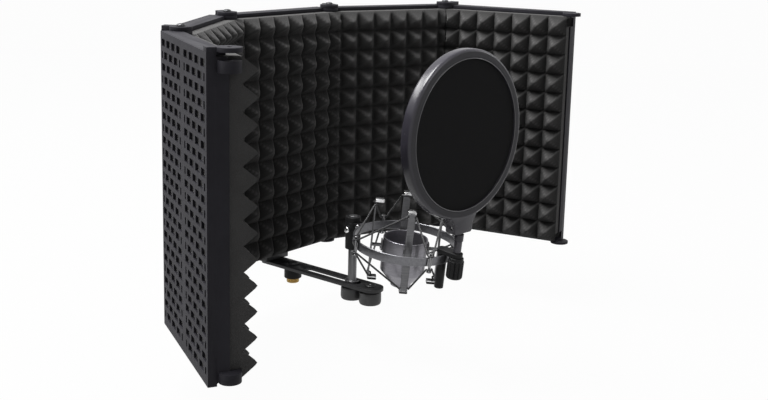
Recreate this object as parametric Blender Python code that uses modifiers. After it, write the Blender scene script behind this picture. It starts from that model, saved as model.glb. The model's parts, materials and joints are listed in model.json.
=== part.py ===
# Folding microphone isolation shield: five perforated panels lined with pyramid foam, a slotted
# support bar with a stand hub, a sprung microphone cup in a ring, and a pop filter on the ring.
# Metres, +Z up. The origin is the mouth of the stand thread; the shield opens towards -Y.
import math

import bmesh
import bpy
from mathutils import Matrix, Vector

MM = 0.001
GAP = 0.3 * MM
LUG_STEP = 0.3 * MM

# Panels: pivot-to-pivot width, height and moulding
PANEL_HEIGHT = 312 * MM
PIVOT_PITCH = 180 * MM
TRAY_DEPTH = 21 * MM
TRAY_EDGE = 0.6 * MM
SIDE_WALL = 1.6 * MM
END_WALL = 4.4 * MM
BACK_WALL = 2.4 * MM
PANEL_BASE_Z = 31 * MM
MIDDLE_RIM_Y = 25 * MM

# Fold of each hinge in the rest pose, degrees away from flat, left to right
FOLD_AB = 30.8
FOLD_BC = 31.6
FOLD_CD = 20.5
FOLD_DE = 56.4

# Perforation of the panel backs: two fields of staggered openings beside a solid strip
HOLE_WIDTH = 14 * MM
HOLE_HEIGHT = 18 * MM
HOLE_PITCH = 21 * MM
HOLE_ROWS = 7
HOLES_PER_FIELD = 4
CENTRE_STRIP = 14 * MM
FIELD_MARGIN_Z = 16 * MM

# Hinge ears and bosses
EAR_RADIUS = 11.7 * MM
EAR_RAISED = 4.2 * MM
EAR_FLUSH = 4.0 * MM
EAR_LOWER = 3.0 * MM
EAR_CLEAR = 0.5 * MM
BOSS_RADIUS = 11 * MM
BOSS_TOP_DROP = 7.5 * MM
BOSS_TOP_HEIGHT = 11 * MM
BOSS_LOW_Z = 3.5 * MM
BOSS_LOW_HEIGHT = 10 * MM
SCREW_RADIUS = 2.0 * MM
SCREW_HEAD_RADIUS = 4.75 * MM
SCREW_HEAD_HEIGHT = 2.6 * MM
HEAD_CROWN = 0.7
HEAD_EDGE = 0.4
SCREW_END = 1.5 * MM

# Foam: base above the rim, pyramid height and grid, and the mitre that lets the panels fold
FOAM_BASE = 12.2 * MM
PYRAMID_HEIGHT = 16.1 * MM
PYRAMID_COLUMNS = 7
PYRAMID_ROWS = 12
PHASE_LEFT = 0.5
PHASE_FOURTH = 0.35
MITRE_SLOPE = 0.6
MITRE_START = 0.4 * MM

# Support bar, spacer and stand hub
BAR_WIDTH = 28 * MM
BAR_THICK = 4 * MM
BAR_REAR_Y = 44 * MM
BAR_TIP_Y = -144.5 * MM
SLOT_WIDTH = 11 * MM
SLOT_REAR_Y = -22 * MM
SLOT_FRONT_Y = -112 * MM
SPACER_HALF_WIDTH = 20 * MM
SPACER_DEPTH = 16 * MM
SPACER_HEIGHT = 8 * MM
SPACER_SCREW_INSET = 6 * MM
SPACER_SCREW_RADIUS = 1.5 * MM
SPACER_SCREW_HEAD = 3.2 * MM
HUB_RADIUS = 11 * MM
HUB_HEIGHT = 13 * MM
HUB_BOLT_RADIUS = 3.0 * MM
HUB_BOLT_HEAD = 7.0 * MM
HUB_SOCKET_DEPTH = 7 * MM
BUSH_RADIUS = 7.9 * MM
BUSH_BORE = 4.6 * MM
BUSH_PROUD = 6 * MM
BUSH_LAND = 1 * MM
BUSH_GROOVE = 0.6 * MM

# Post, thumb nuts and end bolt
POST_Y = -99 * MM
POST_RADIUS = 5.25 * MM
POST_TOP_Z = 106 * MM
POST_FLANGE_RADIUS = 9 * MM
POST_FLANGE_HEIGHT = 2 * MM
STUD_RADIUS = 3.0 * MM
NUT_RADIUS = 13.6 * MM
NUT_HEIGHT = 17 * MM
NUT_NECK_RADIUS = 10.4 * MM
NUT_SHOULDER = 2.4 * MM
NUT_ROUND = 1.2 * MM
NUT_FLOOR = 2 * MM
END_BOLT_Y = -128 * MM
END_BOLT_HEAD = 6.5 * MM
END_BOLT_HEIGHT = 2.0 * MM

# Swivel collar and its tilt fork
COLLAR_RADIUS = 9.25 * MM
COLLAR_LOW_Z = 65 * MM
COLLAR_HEIGHT = 40 * MM
COLLAR_SCREW_Z = 90 * MM
COLLAR_BOSS_RADIUS = 5 * MM
COLLAR_BOSS = 1.8 * MM
COLLAR_SCREW_RADIUS = 2.2 * MM
COLLAR_SCREW_HEAD = 3.6 * MM
TILT_PIVOT_Y = -112 * MM
TILT_REST = 6.0
FORK_INSIDE = 4.3 * MM
FORK_CHEEK = 3.0 * MM
FORK_HALF_HEIGHT = 3.2 * MM
TILT_PIN_RADIUS = 1.3 * MM
TILT_PIN_HEAD = 2.8 * MM
TILT_PIN_HEAD_THICK = 1.6 * MM

# Shock-mount ring, cup, straps and cords (heights from the ring's mid plane)
RING_CENTRE_Z = 88.4 * MM
RING_RADIUS = 61.6 * MM
RING_THICK = 2.0 * MM
RING_TONGUE = 6.0 * MM
RING_HEIGHT = 10.5 * MM
CUP_RADIUS = 26.2 * MM
CUP_WALL = 1.6 * MM
CUP_RIM_Z = 6.4 * MM
CUP_CYLINDER = 40.6 * MM
CUP_FOOT_RADIUS = 12 * MM
CUP_FOOT_Z = -53 * MM
CUP_FLOOR = 3 * MM
ARM_COUNT = 4
ARM_AZIMUTH = 42.0
ARM_INSET = 22.1 * MM
ARM_WIDTH = 8.5 * MM
ARM_THICK = 1.6 * MM
ARM_TOP_Z = 51.5 * MM
ARM_LOW_Z = -48 * MM
ARM_LIP_REACH = 9 * MM
ARM_LIP_THICK = 4 * MM
ARM_LIP_SIDE = 0.5 * MM
ARM_NOTCH = 1.0 * MM
ARM_NOTCH_DROP = 1.2 * MM
ARM_LEG_Z = -6 * MM
ARM_TAB_LOW_Z = -11 * MM
ARM_TAB_TOP_Z = 2 * MM
CORD_RADIUS = 1.1 * MM
CORD_CLEAR = 0.25 * MM
CORD_EASE = 0.4 * MM
HOOK_WRAP = (-90, -38, 38, 90)
HOOK_LEAD = 22.0
HOOK_PIN_RADIUS = 1.5 * MM
HOOK_STAND_OFF = 2.0 * MM
HOOK_HALF_LENGTH = 12 * MM
HOOK_HEAD_RADIUS = 2.8 * MM
HOOK_HEAD_HEIGHT = 1.6 * MM
HOOK_SADDLE_HALF = 3.2 * MM
HOOK_SADDLE_HEIGHT = 9 * MM
HOOK_CORD_Z = 8 * MM

# Pop filter and its clamp (clamp heights from the ring's mid plane)
CLAMP_HALF_WIDTH = 7 * MM
CLAMP_THICK = 5 * MM
CLAMP_JAW_RADIUS = 5.3 * MM
CLAMP_JAW_LOW_Z = -37.5 * MM
CLAMP_LIP = 1.0 * MM
CLAMP_LIP_INSIDE = 4.8 * MM
CLAMP_LIP_DEPTH = 8 * MM
POP_POST_REACH = 11.4 * MM
POP_POST_RADIUS = 4.5 * MM
POP_POST_TOP = 14.5 * MM
POP_STUD_RADIUS = 3.0 * MM
KNOB_RADIUS = 9.5 * MM
KNOB_HEIGHT = 25 * MM
KNOB_LOBES = 8
KNOB_LOBE_DEPTH = 1.1 * MM
KNOB_FLANGE = 3.5 * MM
KNOB_FLANGE_INSET = 0.9 * MM
KNOB_FLOOR = 4 * MM
HOLDER_RADIUS = 5.3 * MM
HOLDER_HEIGHT = 8 * MM
HOLDER_ROOF = 2 * MM
TONGUE_HALF = 4.0 * MM
TONGUE_RADIUS = 3.6 * MM
TONGUE_NECK = 2.4 * MM
TONGUE_RISE = 9.2 * MM
HOOP_RADIUS = 95.5 * MM
HOOP_FACE = 10.7 * MM
HOOP_DEPTH = 15 * MM
HOOP_ROUND = 4 * MM
HOOP_DROP = 9 * MM
HOOP_SET_BACK = 2.4 * MM
FOOT_HALF_WIDTH = 15.3 * MM
FOOT_SHOULDER = 24 * MM
FOOT_BELOW = 7.5 * MM
FOOT_SIDE_TOP = 4.2 * MM
FOOT_FRONT = 4.9 * MM
FOOT_REAR = 9 * MM
FOOT_SINK = 4.5 * MM
POP_SCREW_RADIUS = 1.6 * MM
POP_SCREW_HEAD = 3.4 * MM
POP_SCREW_HEAD_THICK = 2.0 * MM
POP_LEAN = 0.0
POP_TURN = -4.8
MESH_THICK = 0.6 * MM
MESH_OFFSET = 5.0 * MM

for old in list(bpy.data.objects):
    bpy.data.objects.remove(old, do_unlink=True)

PARTS = bpy.data.collections.new("microphone_isolation_shield")
bpy.context.scene.collection.children.link(PARTS)
TOOLS = bpy.data.collections.new("cutters")
bpy.context.scene.collection.children.link(TOOLS)


def material(name, colour, roughness, metallic):
    mat = bpy.data.materials.new(name)
    mat.use_nodes = True
    shader = mat.node_tree.nodes["Principled BSDF"]
    shader.inputs["Base Color"].default_value = (*colour, 1.0)
    shader.inputs["Roughness"].default_value = roughness
    shader.inputs["Metallic"].default_value = metallic
    return mat


PLASTIC = material("panel_plastic", (0.075, 0.075, 0.078), 0.55, 0.0)
FOAM = material("acoustic_foam", (0.035, 0.033, 0.033), 0.95, 0.0)
STEEL = material("bright_steel", (0.72, 0.72, 0.72), 0.25, 1.0)
BLACK_STEEL = material("black_steel", (0.03, 0.03, 0.032), 0.4, 0.6)
GREY_STEEL = material("grey_steel", (0.33, 0.33, 0.35), 0.4, 0.9)
BRASS = material("brass", (0.72, 0.52, 0.22), 0.3, 1.0)
KNOB_PLASTIC = material("knob_plastic", (0.035, 0.035, 0.037), 0.5, 0.0)
CUP_METAL = material("cup_metal", (0.28, 0.27, 0.29), 0.42, 0.85)
HOOP_PLASTIC = material("hoop_plastic", (0.13, 0.125, 0.135), 0.35, 0.0)
CORD = material("elastic_cord", (0.02, 0.02, 0.02), 0.85, 0.0)
MESH = material("pop_mesh", (0.012, 0.012, 0.013), 0.9, 0.0)


def shape(name, mesh):
    obj = bpy.data.objects.new(name, mesh)
    TOOLS.objects.link(obj)
    obj.hide_render = True
    obj.display_type = "WIRE"
    return obj


def block(low, high):
    bm = bmesh.new()
    bmesh.ops.create_cube(bm, size=1.0)
    size = Vector(high) - Vector(low)
    middle = (Vector(high) + Vector(low)) / 2
    bmesh.ops.scale(bm, vec=size, verts=bm.verts)
    bmesh.ops.translate(bm, vec=middle, verts=bm.verts)
    mesh = bpy.data.meshes.new("block")
    bm.to_mesh(mesh)
    bm.free()
    return shape("block", mesh)


def rod(radius, low, high, x=0.0, y=0.0, sides=14):
    bm = bmesh.new()
    bmesh.ops.create_cone(
        bm, cap_ends=True, segments=sides, radius1=radius, radius2=radius, depth=high - low
    )
    bmesh.ops.translate(bm, vec=(x, y, (low + high) / 2), verts=bm.verts)
    mesh = bpy.data.meshes.new("rod")
    bm.to_mesh(mesh)
    bm.free()
    return shape("rod", mesh)


def settle(obj):
    graph = bpy.context.evaluated_depsgraph_get()
    mesh = bpy.data.meshes.new_from_object(obj.evaluated_get(graph))
    bm = bmesh.new()
    bm.from_mesh(mesh)
    bmesh.ops.remove_doubles(bm, verts=bm.verts, dist=0.001 * MM)
    bm.to_mesh(mesh)
    bm.free()
    tools = [mod.object for mod in obj.modifiers if mod.type == "BOOLEAN"]
    for used in [*tools, obj]:
        bpy.data.objects.remove(used, do_unlink=True)
    return shape("settled", mesh)


def combine(base, operation, tools):
    for tool in tools:
        mod = base.modifiers.new(operation.lower(), "BOOLEAN")
        mod.operation = operation
        mod.object = tool
        mod.solver = "EXACT"
    return settle(base)


def fuse(base, *tools):
    return combine(base, "UNION", tools)


def carve(base, *tools):
    return combine(base, "DIFFERENCE", tools)


def turned(profile, steps, closed):
    # Lathe a profile of (radius, height) points about Z
    mesh = bpy.data.meshes.new("profile")
    points = [(radius, 0.0, height) for radius, height in profile]
    edges = [(i, i + 1) for i in range(len(points) - 1)]
    if closed:
        edges.append((len(points) - 1, 0))
    mesh.from_pydata(points, edges, [])
    obj = shape("profile", mesh)
    screw = obj.modifiers.new("lathe", "SCREW")
    screw.steps = steps
    screw.render_steps = steps
    screw.use_merge_vertices = True
    screw.merge_threshold = 0.005 * MM
    screw.use_smooth_shade = False
    return settle(obj)


def plate(outline, low, high):
    # Flat plate from a closed outline of (x, y) points
    curve = bpy.data.curves.new("outline", "CURVE")
    curve.dimensions = "2D"
    curve.fill_mode = "BOTH"
    curve.extrude = (high - low) / 2
    spline = curve.splines.new("POLY")
    spline.points.add(len(outline) - 1)
    for point, (x, y) in zip(spline.points, outline):
        point.co = (x, y, 0.0, 1.0)
    spline.use_cyclic_u = True
    obj = bpy.data.objects.new("outline", curve)
    TOOLS.objects.link(obj)
    flat = settle(obj)
    flat.data.transform(Matrix.Translation((0.0, 0.0, (low + high) / 2)))
    return flat


def lobed(radius, depth, lobes):
    points = []
    for i in range(lobes * 3):
        reach = radius - (depth if i % 3 == 2 else 0.0)
        angle = 2 * math.pi * i / (lobes * 3)
        points.append((reach * math.cos(angle), reach * math.sin(angle)))
    return points


def moved(obj, matrix):
    obj.data.transform(matrix)
    return obj


def part(name, mesh, mat, matrix=None):
    obj = bpy.data.objects.new(name, mesh)
    obj.matrix_world = matrix or Matrix.Identity(4)
    if not mesh.materials:
        mesh.materials.append(mat)
    PARTS.objects.link(obj)
    return obj


def release(obj):
    mesh = obj.data
    bpy.data.objects.remove(obj, do_unlink=True)
    return mesh


spacer_hole = SPACER_SCREW_RADIUS + GAP
spacer_x = BAR_WIDTH / 2 - SPACER_SCREW_INSET


# Panel tray, first pivot at x = 0, second at x = PIVOT_PITCH, rim plane at y = 0, base at z = 0
def tray():
    top = PANEL_HEIGHT
    pocket = EAR_RADIUS + EAR_CLEAR
    notch = BOSS_RADIUS + EAR_CLEAR
    boss_top = top - BOSS_TOP_DROP
    boss_base = boss_top - BOSS_TOP_HEIGHT
    low_top = BOSS_LOW_Z + BOSS_LOW_HEIGHT
    far = PIVOT_PITCH
    over = 1.0 * MM
    shell = carve(
        block((TRAY_EDGE, 0.0, 0.0), (far - TRAY_EDGE, TRAY_DEPTH, top)),
        block(
            (TRAY_EDGE + SIDE_WALL, -over, END_WALL),
            (far - TRAY_EDGE - SIDE_WALL, TRAY_DEPTH - BACK_WALL, top - END_WALL),
        ),
    )
    shell = carve(
        shell,
        rod(pocket, top - EAR_FLUSH - 2 * GAP, top + over),
        rod(pocket, -over, EAR_LOWER + GAP),
        rod(notch, boss_base - GAP, boss_top + GAP, x=far),
        rod(notch, BOSS_LOW_Z - GAP, low_top + GAP, x=far),
    )
    shell = fuse(
        shell,
        rod(EAR_RADIUS, top, top + EAR_RAISED),
        block((TRAY_EDGE, 0.0, top), (EAR_RADIUS, TRAY_DEPTH - GAP, top + EAR_RAISED)),
        rod(BOSS_RADIUS, boss_base, boss_top),
        rod(BOSS_RADIUS, BOSS_LOW_Z, low_top),
        rod(EAR_RADIUS, top - EAR_FLUSH - GAP, top - GAP, x=far),
        rod(EAR_RADIUS, 0.0, EAR_LOWER, x=far),
    )
    hole = SCREW_RADIUS + GAP
    shell = carve(
        shell,
        rod(pocket, top - GAP, top + over, x=far),
        rod(hole, boss_base + SCREW_END, top + EAR_RAISED + over, sides=8),
        rod(hole, -over, low_top - SCREW_END, sides=8),
        rod(hole, top - 2 * END_WALL, top + over, x=far, sides=8),
        rod(hole, -over, EAR_LOWER + over, x=far, sides=8),
        rod(spacer_hole, -over, END_WALL + over, far / 2 - spacer_x, TRAY_DEPTH / 2, 8),
        rod(spacer_hole, -over, END_WALL + over, far / 2 + spacer_x, TRAY_DEPTH / 2, 8),
    )
    return carve(shell, perforation())


def perforation():
    # One cutter holding every opening of the back wall
    bm = bmesh.new()
    row_pitch = (PANEL_HEIGHT - 2 * FIELD_MARGIN_Z) / HOLE_ROWS
    field = (HOLES_PER_FIELD - 1) * HOLE_PITCH + HOLE_WIDTH
    for row in range(HOLE_ROWS):
        count = HOLES_PER_FIELD - row % 2
        z = FIELD_MARGIN_Z + (row + 0.5) * row_pitch
        for side in (-1, 1):
            middle = PIVOT_PITCH / 2 + side * (CENTRE_STRIP + field) / 2
            for column in range(count):
                x = middle + (column - (count - 1) / 2) * HOLE_PITCH
                made = bmesh.ops.create_cube(bm, size=1.0)["verts"]
                bmesh.ops.scale(bm, vec=(HOLE_WIDTH, 3 * BACK_WALL, HOLE_HEIGHT), verts=made)
                bmesh.ops.translate(bm, vec=(x, TRAY_DEPTH - BACK_WALL / 2, z), verts=made)
    mesh = bpy.data.meshes.new("perforation")
    bm.to_mesh(mesh)
    bm.free()
    return shape("perforation", mesh)


# Foam pad in the tray's frame; a mitred edge leaves room for the neighbour when the panels fold.
# The phase is the share of a pyramid that is left whole at the first edge, where the sheet was cut.
def foam(mitre_first, mitre_second, phase):
    left = TRAY_EDGE + SIDE_WALL + GAP
    right = PIVOT_PITCH - left
    low = END_WALL + GAP
    high = PANEL_HEIGHT - low
    back = TRAY_DEPTH - BACK_WALL - GAP
    bm = bmesh.new()
    step_x = (right - left) / PYRAMID_COLUMNS
    step_z = (high - low) / PYRAMID_ROWS
    columns = PYRAMID_COLUMNS + 1 if phase else PYRAMID_COLUMNS
    start = left - (1 - phase) * step_x if phase else left
    end = start + columns * step_x
    grid = {}
    for i in range(columns + 1):
        for j in range(PYRAMID_ROWS + 1):
            grid[i, j] = bm.verts.new((start + i * step_x, -FOAM_BASE, low + j * step_z))
    for i in range(columns):
        for j in range(PYRAMID_ROWS):
            tip = bm.verts.new(
                (start + (i + 0.5) * step_x, -FOAM_BASE - PYRAMID_HEIGHT, low + (j + 0.5) * step_z)
            )
            ring = [grid[i, j], grid[i + 1, j], grid[i + 1, j + 1], grid[i, j + 1]]
            for first, second in zip(ring, ring[1:] + ring[:1]):
                bm.faces.new((first, second, tip))
    border = [grid[i, 0] for i in range(columns + 1)]
    border += [grid[columns, j] for j in range(1, PYRAMID_ROWS + 1)]
    border += [grid[i, PYRAMID_ROWS] for i in range(columns - 1, -1, -1)]
    border += [grid[0, j] for j in range(PYRAMID_ROWS - 1, 0, -1)]
    corners = [(start, low), (end, low), (end, high), (start, high)]
    rear = [bm.verts.new((x, back, z)) for x, z in corners]
    bm.faces.new(rear)
    bm.faces.new(border[: columns + 1] + [rear[1], rear[0]])
    turn = columns + PYRAMID_ROWS
    bm.faces.new(border[columns : turn + 1] + [rear[2], rear[1]])
    bm.faces.new(border[turn : turn + columns + 1] + [rear[3], rear[2]])
    bm.faces.new(border[turn + columns :] + [border[0], rear[0], rear[3]])
    bmesh.ops.recalc_face_normals(bm, faces=bm.faces)
    mesh = bpy.data.meshes.new("foam")
    bm.to_mesh(mesh)
    bm.free()
    pad = shape("foam", mesh)
    depth = FOAM_BASE + PYRAMID_HEIGHT + MM
    reach = MITRE_START + MITRE_SLOPE * depth
    wedge = [(MITRE_START, 0.0), (-MM, 0.0), (-MM, -depth), (reach, -depth)]
    tools = []
    if phase:
        tools.append(block((start - MM, -depth, 0.0), (left, TRAY_DEPTH, PANEL_HEIGHT)))
        tools.append(block((right, -depth, 0.0), (end + MM, TRAY_DEPTH, PANEL_HEIGHT)))
    if mitre_first:
        tools.append(plate(wedge, 0.0, PANEL_HEIGHT))
    if mitre_second:
        tools.append(plate([(PIVOT_PITCH - x, y) for x, y in wedge], 0.0, PANEL_HEIGHT))
    notch = BOSS_RADIUS + EAR_CLEAR
    boss_top = PANEL_HEIGHT - BOSS_TOP_DROP
    for x in (0.0, PIVOT_PITCH):
        tools.append(rod(notch, boss_top - BOSS_TOP_HEIGHT - GAP, boss_top + GAP, x=x))
        tools.append(rod(notch, 0.0, BOSS_LOW_Z + BOSS_LOW_HEIGHT + GAP, x=x))
    return carve(pad, *tools)


def pan_head(radius, seat, height):
    # Profile of a screw head above its seat, from the axis outwards
    return [
        (0.0, seat + height),
        (radius * HEAD_CROWN, seat + height),
        (radius, seat + height * HEAD_EDGE),
        (radius, seat),
    ]


def hinge_screw(length, sides=8):
    # Pan-head screw, seat at z = 0, shank pointing down
    profile = [
        *pan_head(SCREW_HEAD_RADIUS, 0.0, SCREW_HEAD_HEIGHT),
        (SCREW_RADIUS, 0.0),
        (SCREW_RADIUS, -length),
        (0.0, -length),
    ]
    return release(turned(profile, sides, False))


def spot(x, y, z, turn=0.0):
    return Matrix.Translation((x, y, z)) @ Matrix.Rotation(math.radians(turn), 4, "Z")


# Plan of the hinge line, from the middle panel outwards
half = PIVOT_PITCH / 2
turn_b = FOLD_BC
turn_a = FOLD_BC + FOLD_AB
turn_d = -FOLD_CD
turn_e = -FOLD_CD - FOLD_DE


def along(start, turn, distance):
    angle = math.radians(turn)
    return (start[0] + distance * math.cos(angle), start[1] + distance * math.sin(angle))


hinge_bc = (-half, MIDDLE_RIM_Y)
hinge_cd = (half, MIDDLE_RIM_Y)
hinge_ab = along(hinge_bc, turn_b, -PIVOT_PITCH)
hinge_de = along(hinge_cd, turn_d, PIVOT_PITCH)

to_second = Matrix.Translation((-PIVOT_PITCH, 0.0, 0.0))
tray_right = release(tray())
tray_left = tray_right.copy()
tray_left.transform(to_second)
foam_first = release(foam(False, True, PHASE_LEFT))
foam_first.transform(to_second)
foam_second = release(foam(True, True, PHASE_LEFT))
foam_second.transform(to_second)
foam_middle = release(foam(True, True, PHASE_LEFT))
foam_fourth = release(foam(True, True, PHASE_FOURTH))
foam_last = release(foam(True, False, 0.0))

place_a = spot(*hinge_ab, PANEL_BASE_Z, turn_a)
place_b = spot(*hinge_bc, PANEL_BASE_Z, turn_b)
place_c = spot(*hinge_bc, PANEL_BASE_Z)
place_d = spot(*hinge_cd, PANEL_BASE_Z, turn_d)
place_e = spot(*hinge_de, PANEL_BASE_Z, turn_e)

part("panel_a", tray_left, PLASTIC, place_a)
part("panel_b", tray_left, PLASTIC, place_b)
part("panel_c", tray_right, PLASTIC, place_c)
part("panel_d", tray_right, PLASTIC, place_d)
part("panel_e", tray_right, PLASTIC, place_e)
part("foam_a", foam_first, FOAM, place_a)
part("foam_b", foam_second, FOAM, place_b)
part("foam_c", foam_middle, FOAM, place_c)
part("foam_d", foam_fourth, FOAM, place_d)
part("foam_e", foam_last, FOAM, place_e)

upper_length = EAR_RAISED + BOSS_TOP_DROP + BOSS_TOP_HEIGHT - 2 * SCREW_END
lower_length = BOSS_LOW_Z + BOSS_LOW_HEIGHT - 2 * SCREW_END
screw_upper = hinge_screw(upper_length)
screw_lower = hinge_screw(lower_length)
flip = Matrix.Rotation(math.pi, 4, "X")
for number, (x, y) in enumerate((hinge_ab, hinge_bc, hinge_cd, hinge_de), 1):
    seat = PANEL_BASE_Z + PANEL_HEIGHT + EAR_RAISED + GAP
    part(f"hinge_screw_top_{number}", screw_upper, STEEL, spot(x, y, seat))
    part(f"hinge_screw_low_{number}", screw_lower, STEEL, spot(x, y, PANEL_BASE_Z - GAP) @ flip)

# Bar, spacer and stand hub
bar_top = PANEL_BASE_Z - SPACER_HEIGHT
bar_low = bar_top - BAR_THICK
bar_half = BAR_WIDTH / 2
tip_centre = BAR_TIP_Y + bar_half


def arc(cx, cy, radius, first, last, steps):
    points = []
    for i in range(steps + 1):
        angle = math.radians(first + (last - first) * i / steps)
        points.append((cx + radius * math.cos(angle), cy + radius * math.sin(angle)))
    return points


corner = 4 * MM
bar_outline = arc(0.0, tip_centre, bar_half, 180, 360, 16)
bar_outline += arc(bar_half - corner, BAR_REAR_Y - corner, corner, 0, 90, 4)
bar_outline += arc(-bar_half + corner, BAR_REAR_Y - corner, corner, 90, 180, 4)
slot_half = SLOT_WIDTH / 2
slot_outline = arc(0.0, SLOT_FRONT_Y + slot_half, slot_half, 180, 360, 8)
slot_outline += arc(0.0, SLOT_REAR_Y - slot_half, slot_half, 0, 180, 8)
spacer_y = MIDDLE_RIM_Y + TRAY_DEPTH / 2
below = bar_low - MM
bar = carve(
    plate(bar_outline, bar_low, bar_top),
    plate(slot_outline, below, bar_top + MM),
    rod(HUB_BOLT_RADIUS + GAP, below, bar_top + MM, sides=14),
    rod(STUD_RADIUS + GAP, below, bar_top + MM, y=END_BOLT_Y, sides=14),
    rod(spacer_hole, below, bar_top + MM, -spacer_x, spacer_y, 8),
    rod(spacer_hole, below, bar_top + MM, spacer_x, spacer_y, 8),
)
part("support_bar", release(bar), BLACK_STEEL)

spacer = carve(
    block(
        (-SPACER_HALF_WIDTH, spacer_y - SPACER_DEPTH / 2, bar_top + GAP),
        (SPACER_HALF_WIDTH, spacer_y + SPACER_DEPTH / 2, PANEL_BASE_Z - GAP),
    ),
    rod(spacer_hole, bar_top, PANEL_BASE_Z, -spacer_x, spacer_y, 8),
    rod(spacer_hole, bar_top, PANEL_BASE_Z, spacer_x, spacer_y, 8),
)
part("bar_spacer", release(spacer), BLACK_STEEL)

spacer_screw_length = PANEL_BASE_Z + END_WALL - bar_low - GAP
spacer_screw_head = 1.8 * MM
spacer_screw = release(
    turned(
        [
            (0.0, spacer_screw_length),
            (SPACER_SCREW_RADIUS, spacer_screw_length),
            (SPACER_SCREW_RADIUS, -GAP),
            (SPACER_SCREW_HEAD, -GAP),
            (SPACER_SCREW_HEAD * HEAD_CROWN, -GAP - spacer_screw_head),
            (0.0, -GAP - spacer_screw_head),
        ],
        12,
        False,
    )
)
part("spacer_screw_left", spacer_screw, STEEL, spot(-spacer_x, spacer_y, bar_low))
part("spacer_screw_right", spacer_screw, STEEL, spot(spacer_x, spacer_y, bar_low))

hub_top = bar_low - GAP
hub_low = hub_top - HUB_HEIGHT + GAP
socket = BUSH_RADIUS + GAP
hub_bolt_hole = HUB_BOLT_RADIUS + GAP
hub_chamfer = 1.0 * MM
hub = turned(
    [
        (hub_bolt_hole, hub_top),
        (HUB_RADIUS, hub_top),
        (HUB_RADIUS, hub_low + hub_chamfer),
        (HUB_RADIUS - hub_chamfer, hub_low),
        (socket, hub_low),
        (socket, hub_low + HUB_SOCKET_DEPTH),
        (hub_bolt_hole, hub_low + HUB_SOCKET_DEPTH),
    ],
    18,
    True,
)
part("stand_hub", release(hub), KNOB_PLASTIC)

bolt_head = 3.0 * MM
hub_bolt_end = hub_low + HUB_SOCKET_DEPTH + GAP
hub_bolt = turned(
    [
        *pan_head(HUB_BOLT_HEAD, bar_top + GAP, bolt_head),
        (HUB_BOLT_RADIUS, bar_top + GAP),
        (HUB_BOLT_RADIUS, hub_bolt_end),
        (0.0, hub_bolt_end),
    ],
    14,
    False,
)
part("hub_bolt", release(hub_bolt), BLACK_STEEL)

bush_top = hub_low + HUB_SOCKET_DEPTH - GAP
bush_low = hub_low - BUSH_PROUD
bush = turned(
    [
        (BUSH_BORE, bush_top),
        (BUSH_RADIUS, bush_top),
        (BUSH_RADIUS, hub_low - BUSH_LAND),
        (BUSH_RADIUS - BUSH_GROOVE, hub_low - BUSH_LAND - BUSH_GROOVE),
        (BUSH_RADIUS - BUSH_GROOVE, bush_low + BUSH_LAND + BUSH_GROOVE),
        (BUSH_RADIUS, bush_low + BUSH_LAND),
        (BUSH_RADIUS, bush_low),
        (BUSH_BORE, bush_low),
    ],
    18,
    True,
)
part("stand_bush", release(bush), BRASS)

# Post, nuts and end bolt
post_seat = bar_top + GAP
nut_top = bar_low - GAP
nut_low = nut_top - NUT_HEIGHT
stud_end = nut_low + NUT_FLOOR
post_bevel = 0.8 * MM
post = turned(
    [
        (0.0, POST_TOP_Z),
        (POST_RADIUS - post_bevel, POST_TOP_Z),
        (POST_RADIUS, POST_TOP_Z - post_bevel),
        (POST_RADIUS, post_seat + POST_FLANGE_HEIGHT),
        (POST_FLANGE_RADIUS, post_seat + POST_FLANGE_HEIGHT),
        (POST_FLANGE_RADIUS, post_seat),
        (STUD_RADIUS, post_seat),
        (STUD_RADIUS, stud_end),
        (0.0, stud_end),
    ],
    16,
    False,
)
part("post", release(post), GREY_STEEL, spot(0.0, POST_Y, 0.0))

stud_hole = STUD_RADIUS + GAP
nut_body = turned(
    [
        (0.0, stud_end - GAP),
        (stud_hole, stud_end - GAP),
        (stud_hole, nut_top),
        (NUT_NECK_RADIUS, nut_top),
        (NUT_RADIUS, nut_top - NUT_SHOULDER),
        (NUT_RADIUS, nut_low + NUT_ROUND),
        (NUT_RADIUS - NUT_ROUND, nut_low),
        (0.0, nut_low),
    ],
    20,
    False,
)
nut = release(nut_body)
part("post_nut", nut, KNOB_PLASTIC, spot(0.0, POST_Y, 0.0))
part("end_nut", nut, KNOB_PLASTIC, spot(0.0, END_BOLT_Y, 0.0))
end_bolt = turned(
    [
        *pan_head(END_BOLT_HEAD, post_seat, END_BOLT_HEIGHT),
        (STUD_RADIUS, post_seat),
        (STUD_RADIUS, stud_end),
        (0.0, stud_end),
    ],
    14,
    False,
)
part("end_bolt", release(end_bolt), BLACK_STEEL, spot(0.0, END_BOLT_Y, 0.0))

# Swivel collar with its fork; the collar's origin is on the post's axis
collar_top = COLLAR_LOW_Z + COLLAR_HEIGHT
ring_reach = RING_RADIUS + RING_TONGUE
tilt_z = RING_CENTRE_Z + ring_reach * math.sin(math.radians(TILT_REST))
fork_y = TILT_PIVOT_Y - POST_Y
cheek_far = FORK_INSIDE + FORK_CHEEK
collar_bevel = 1.0 * MM
barrel = turned(
    [
        (POST_RADIUS + GAP, collar_top),
        (COLLAR_RADIUS - collar_bevel, collar_top),
        (COLLAR_RADIUS, collar_top - collar_bevel),
        (COLLAR_RADIUS, COLLAR_LOW_Z + collar_bevel),
        (COLLAR_RADIUS - collar_bevel, COLLAR_LOW_Z),
        (POST_RADIUS + GAP, COLLAR_LOW_Z),
    ],
    20,
    True,
)
cross = Matrix.Translation((0.0, fork_y, tilt_z)) @ Matrix.Rotation(math.pi / 2, 4, "Y")
cheeks = []
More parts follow.
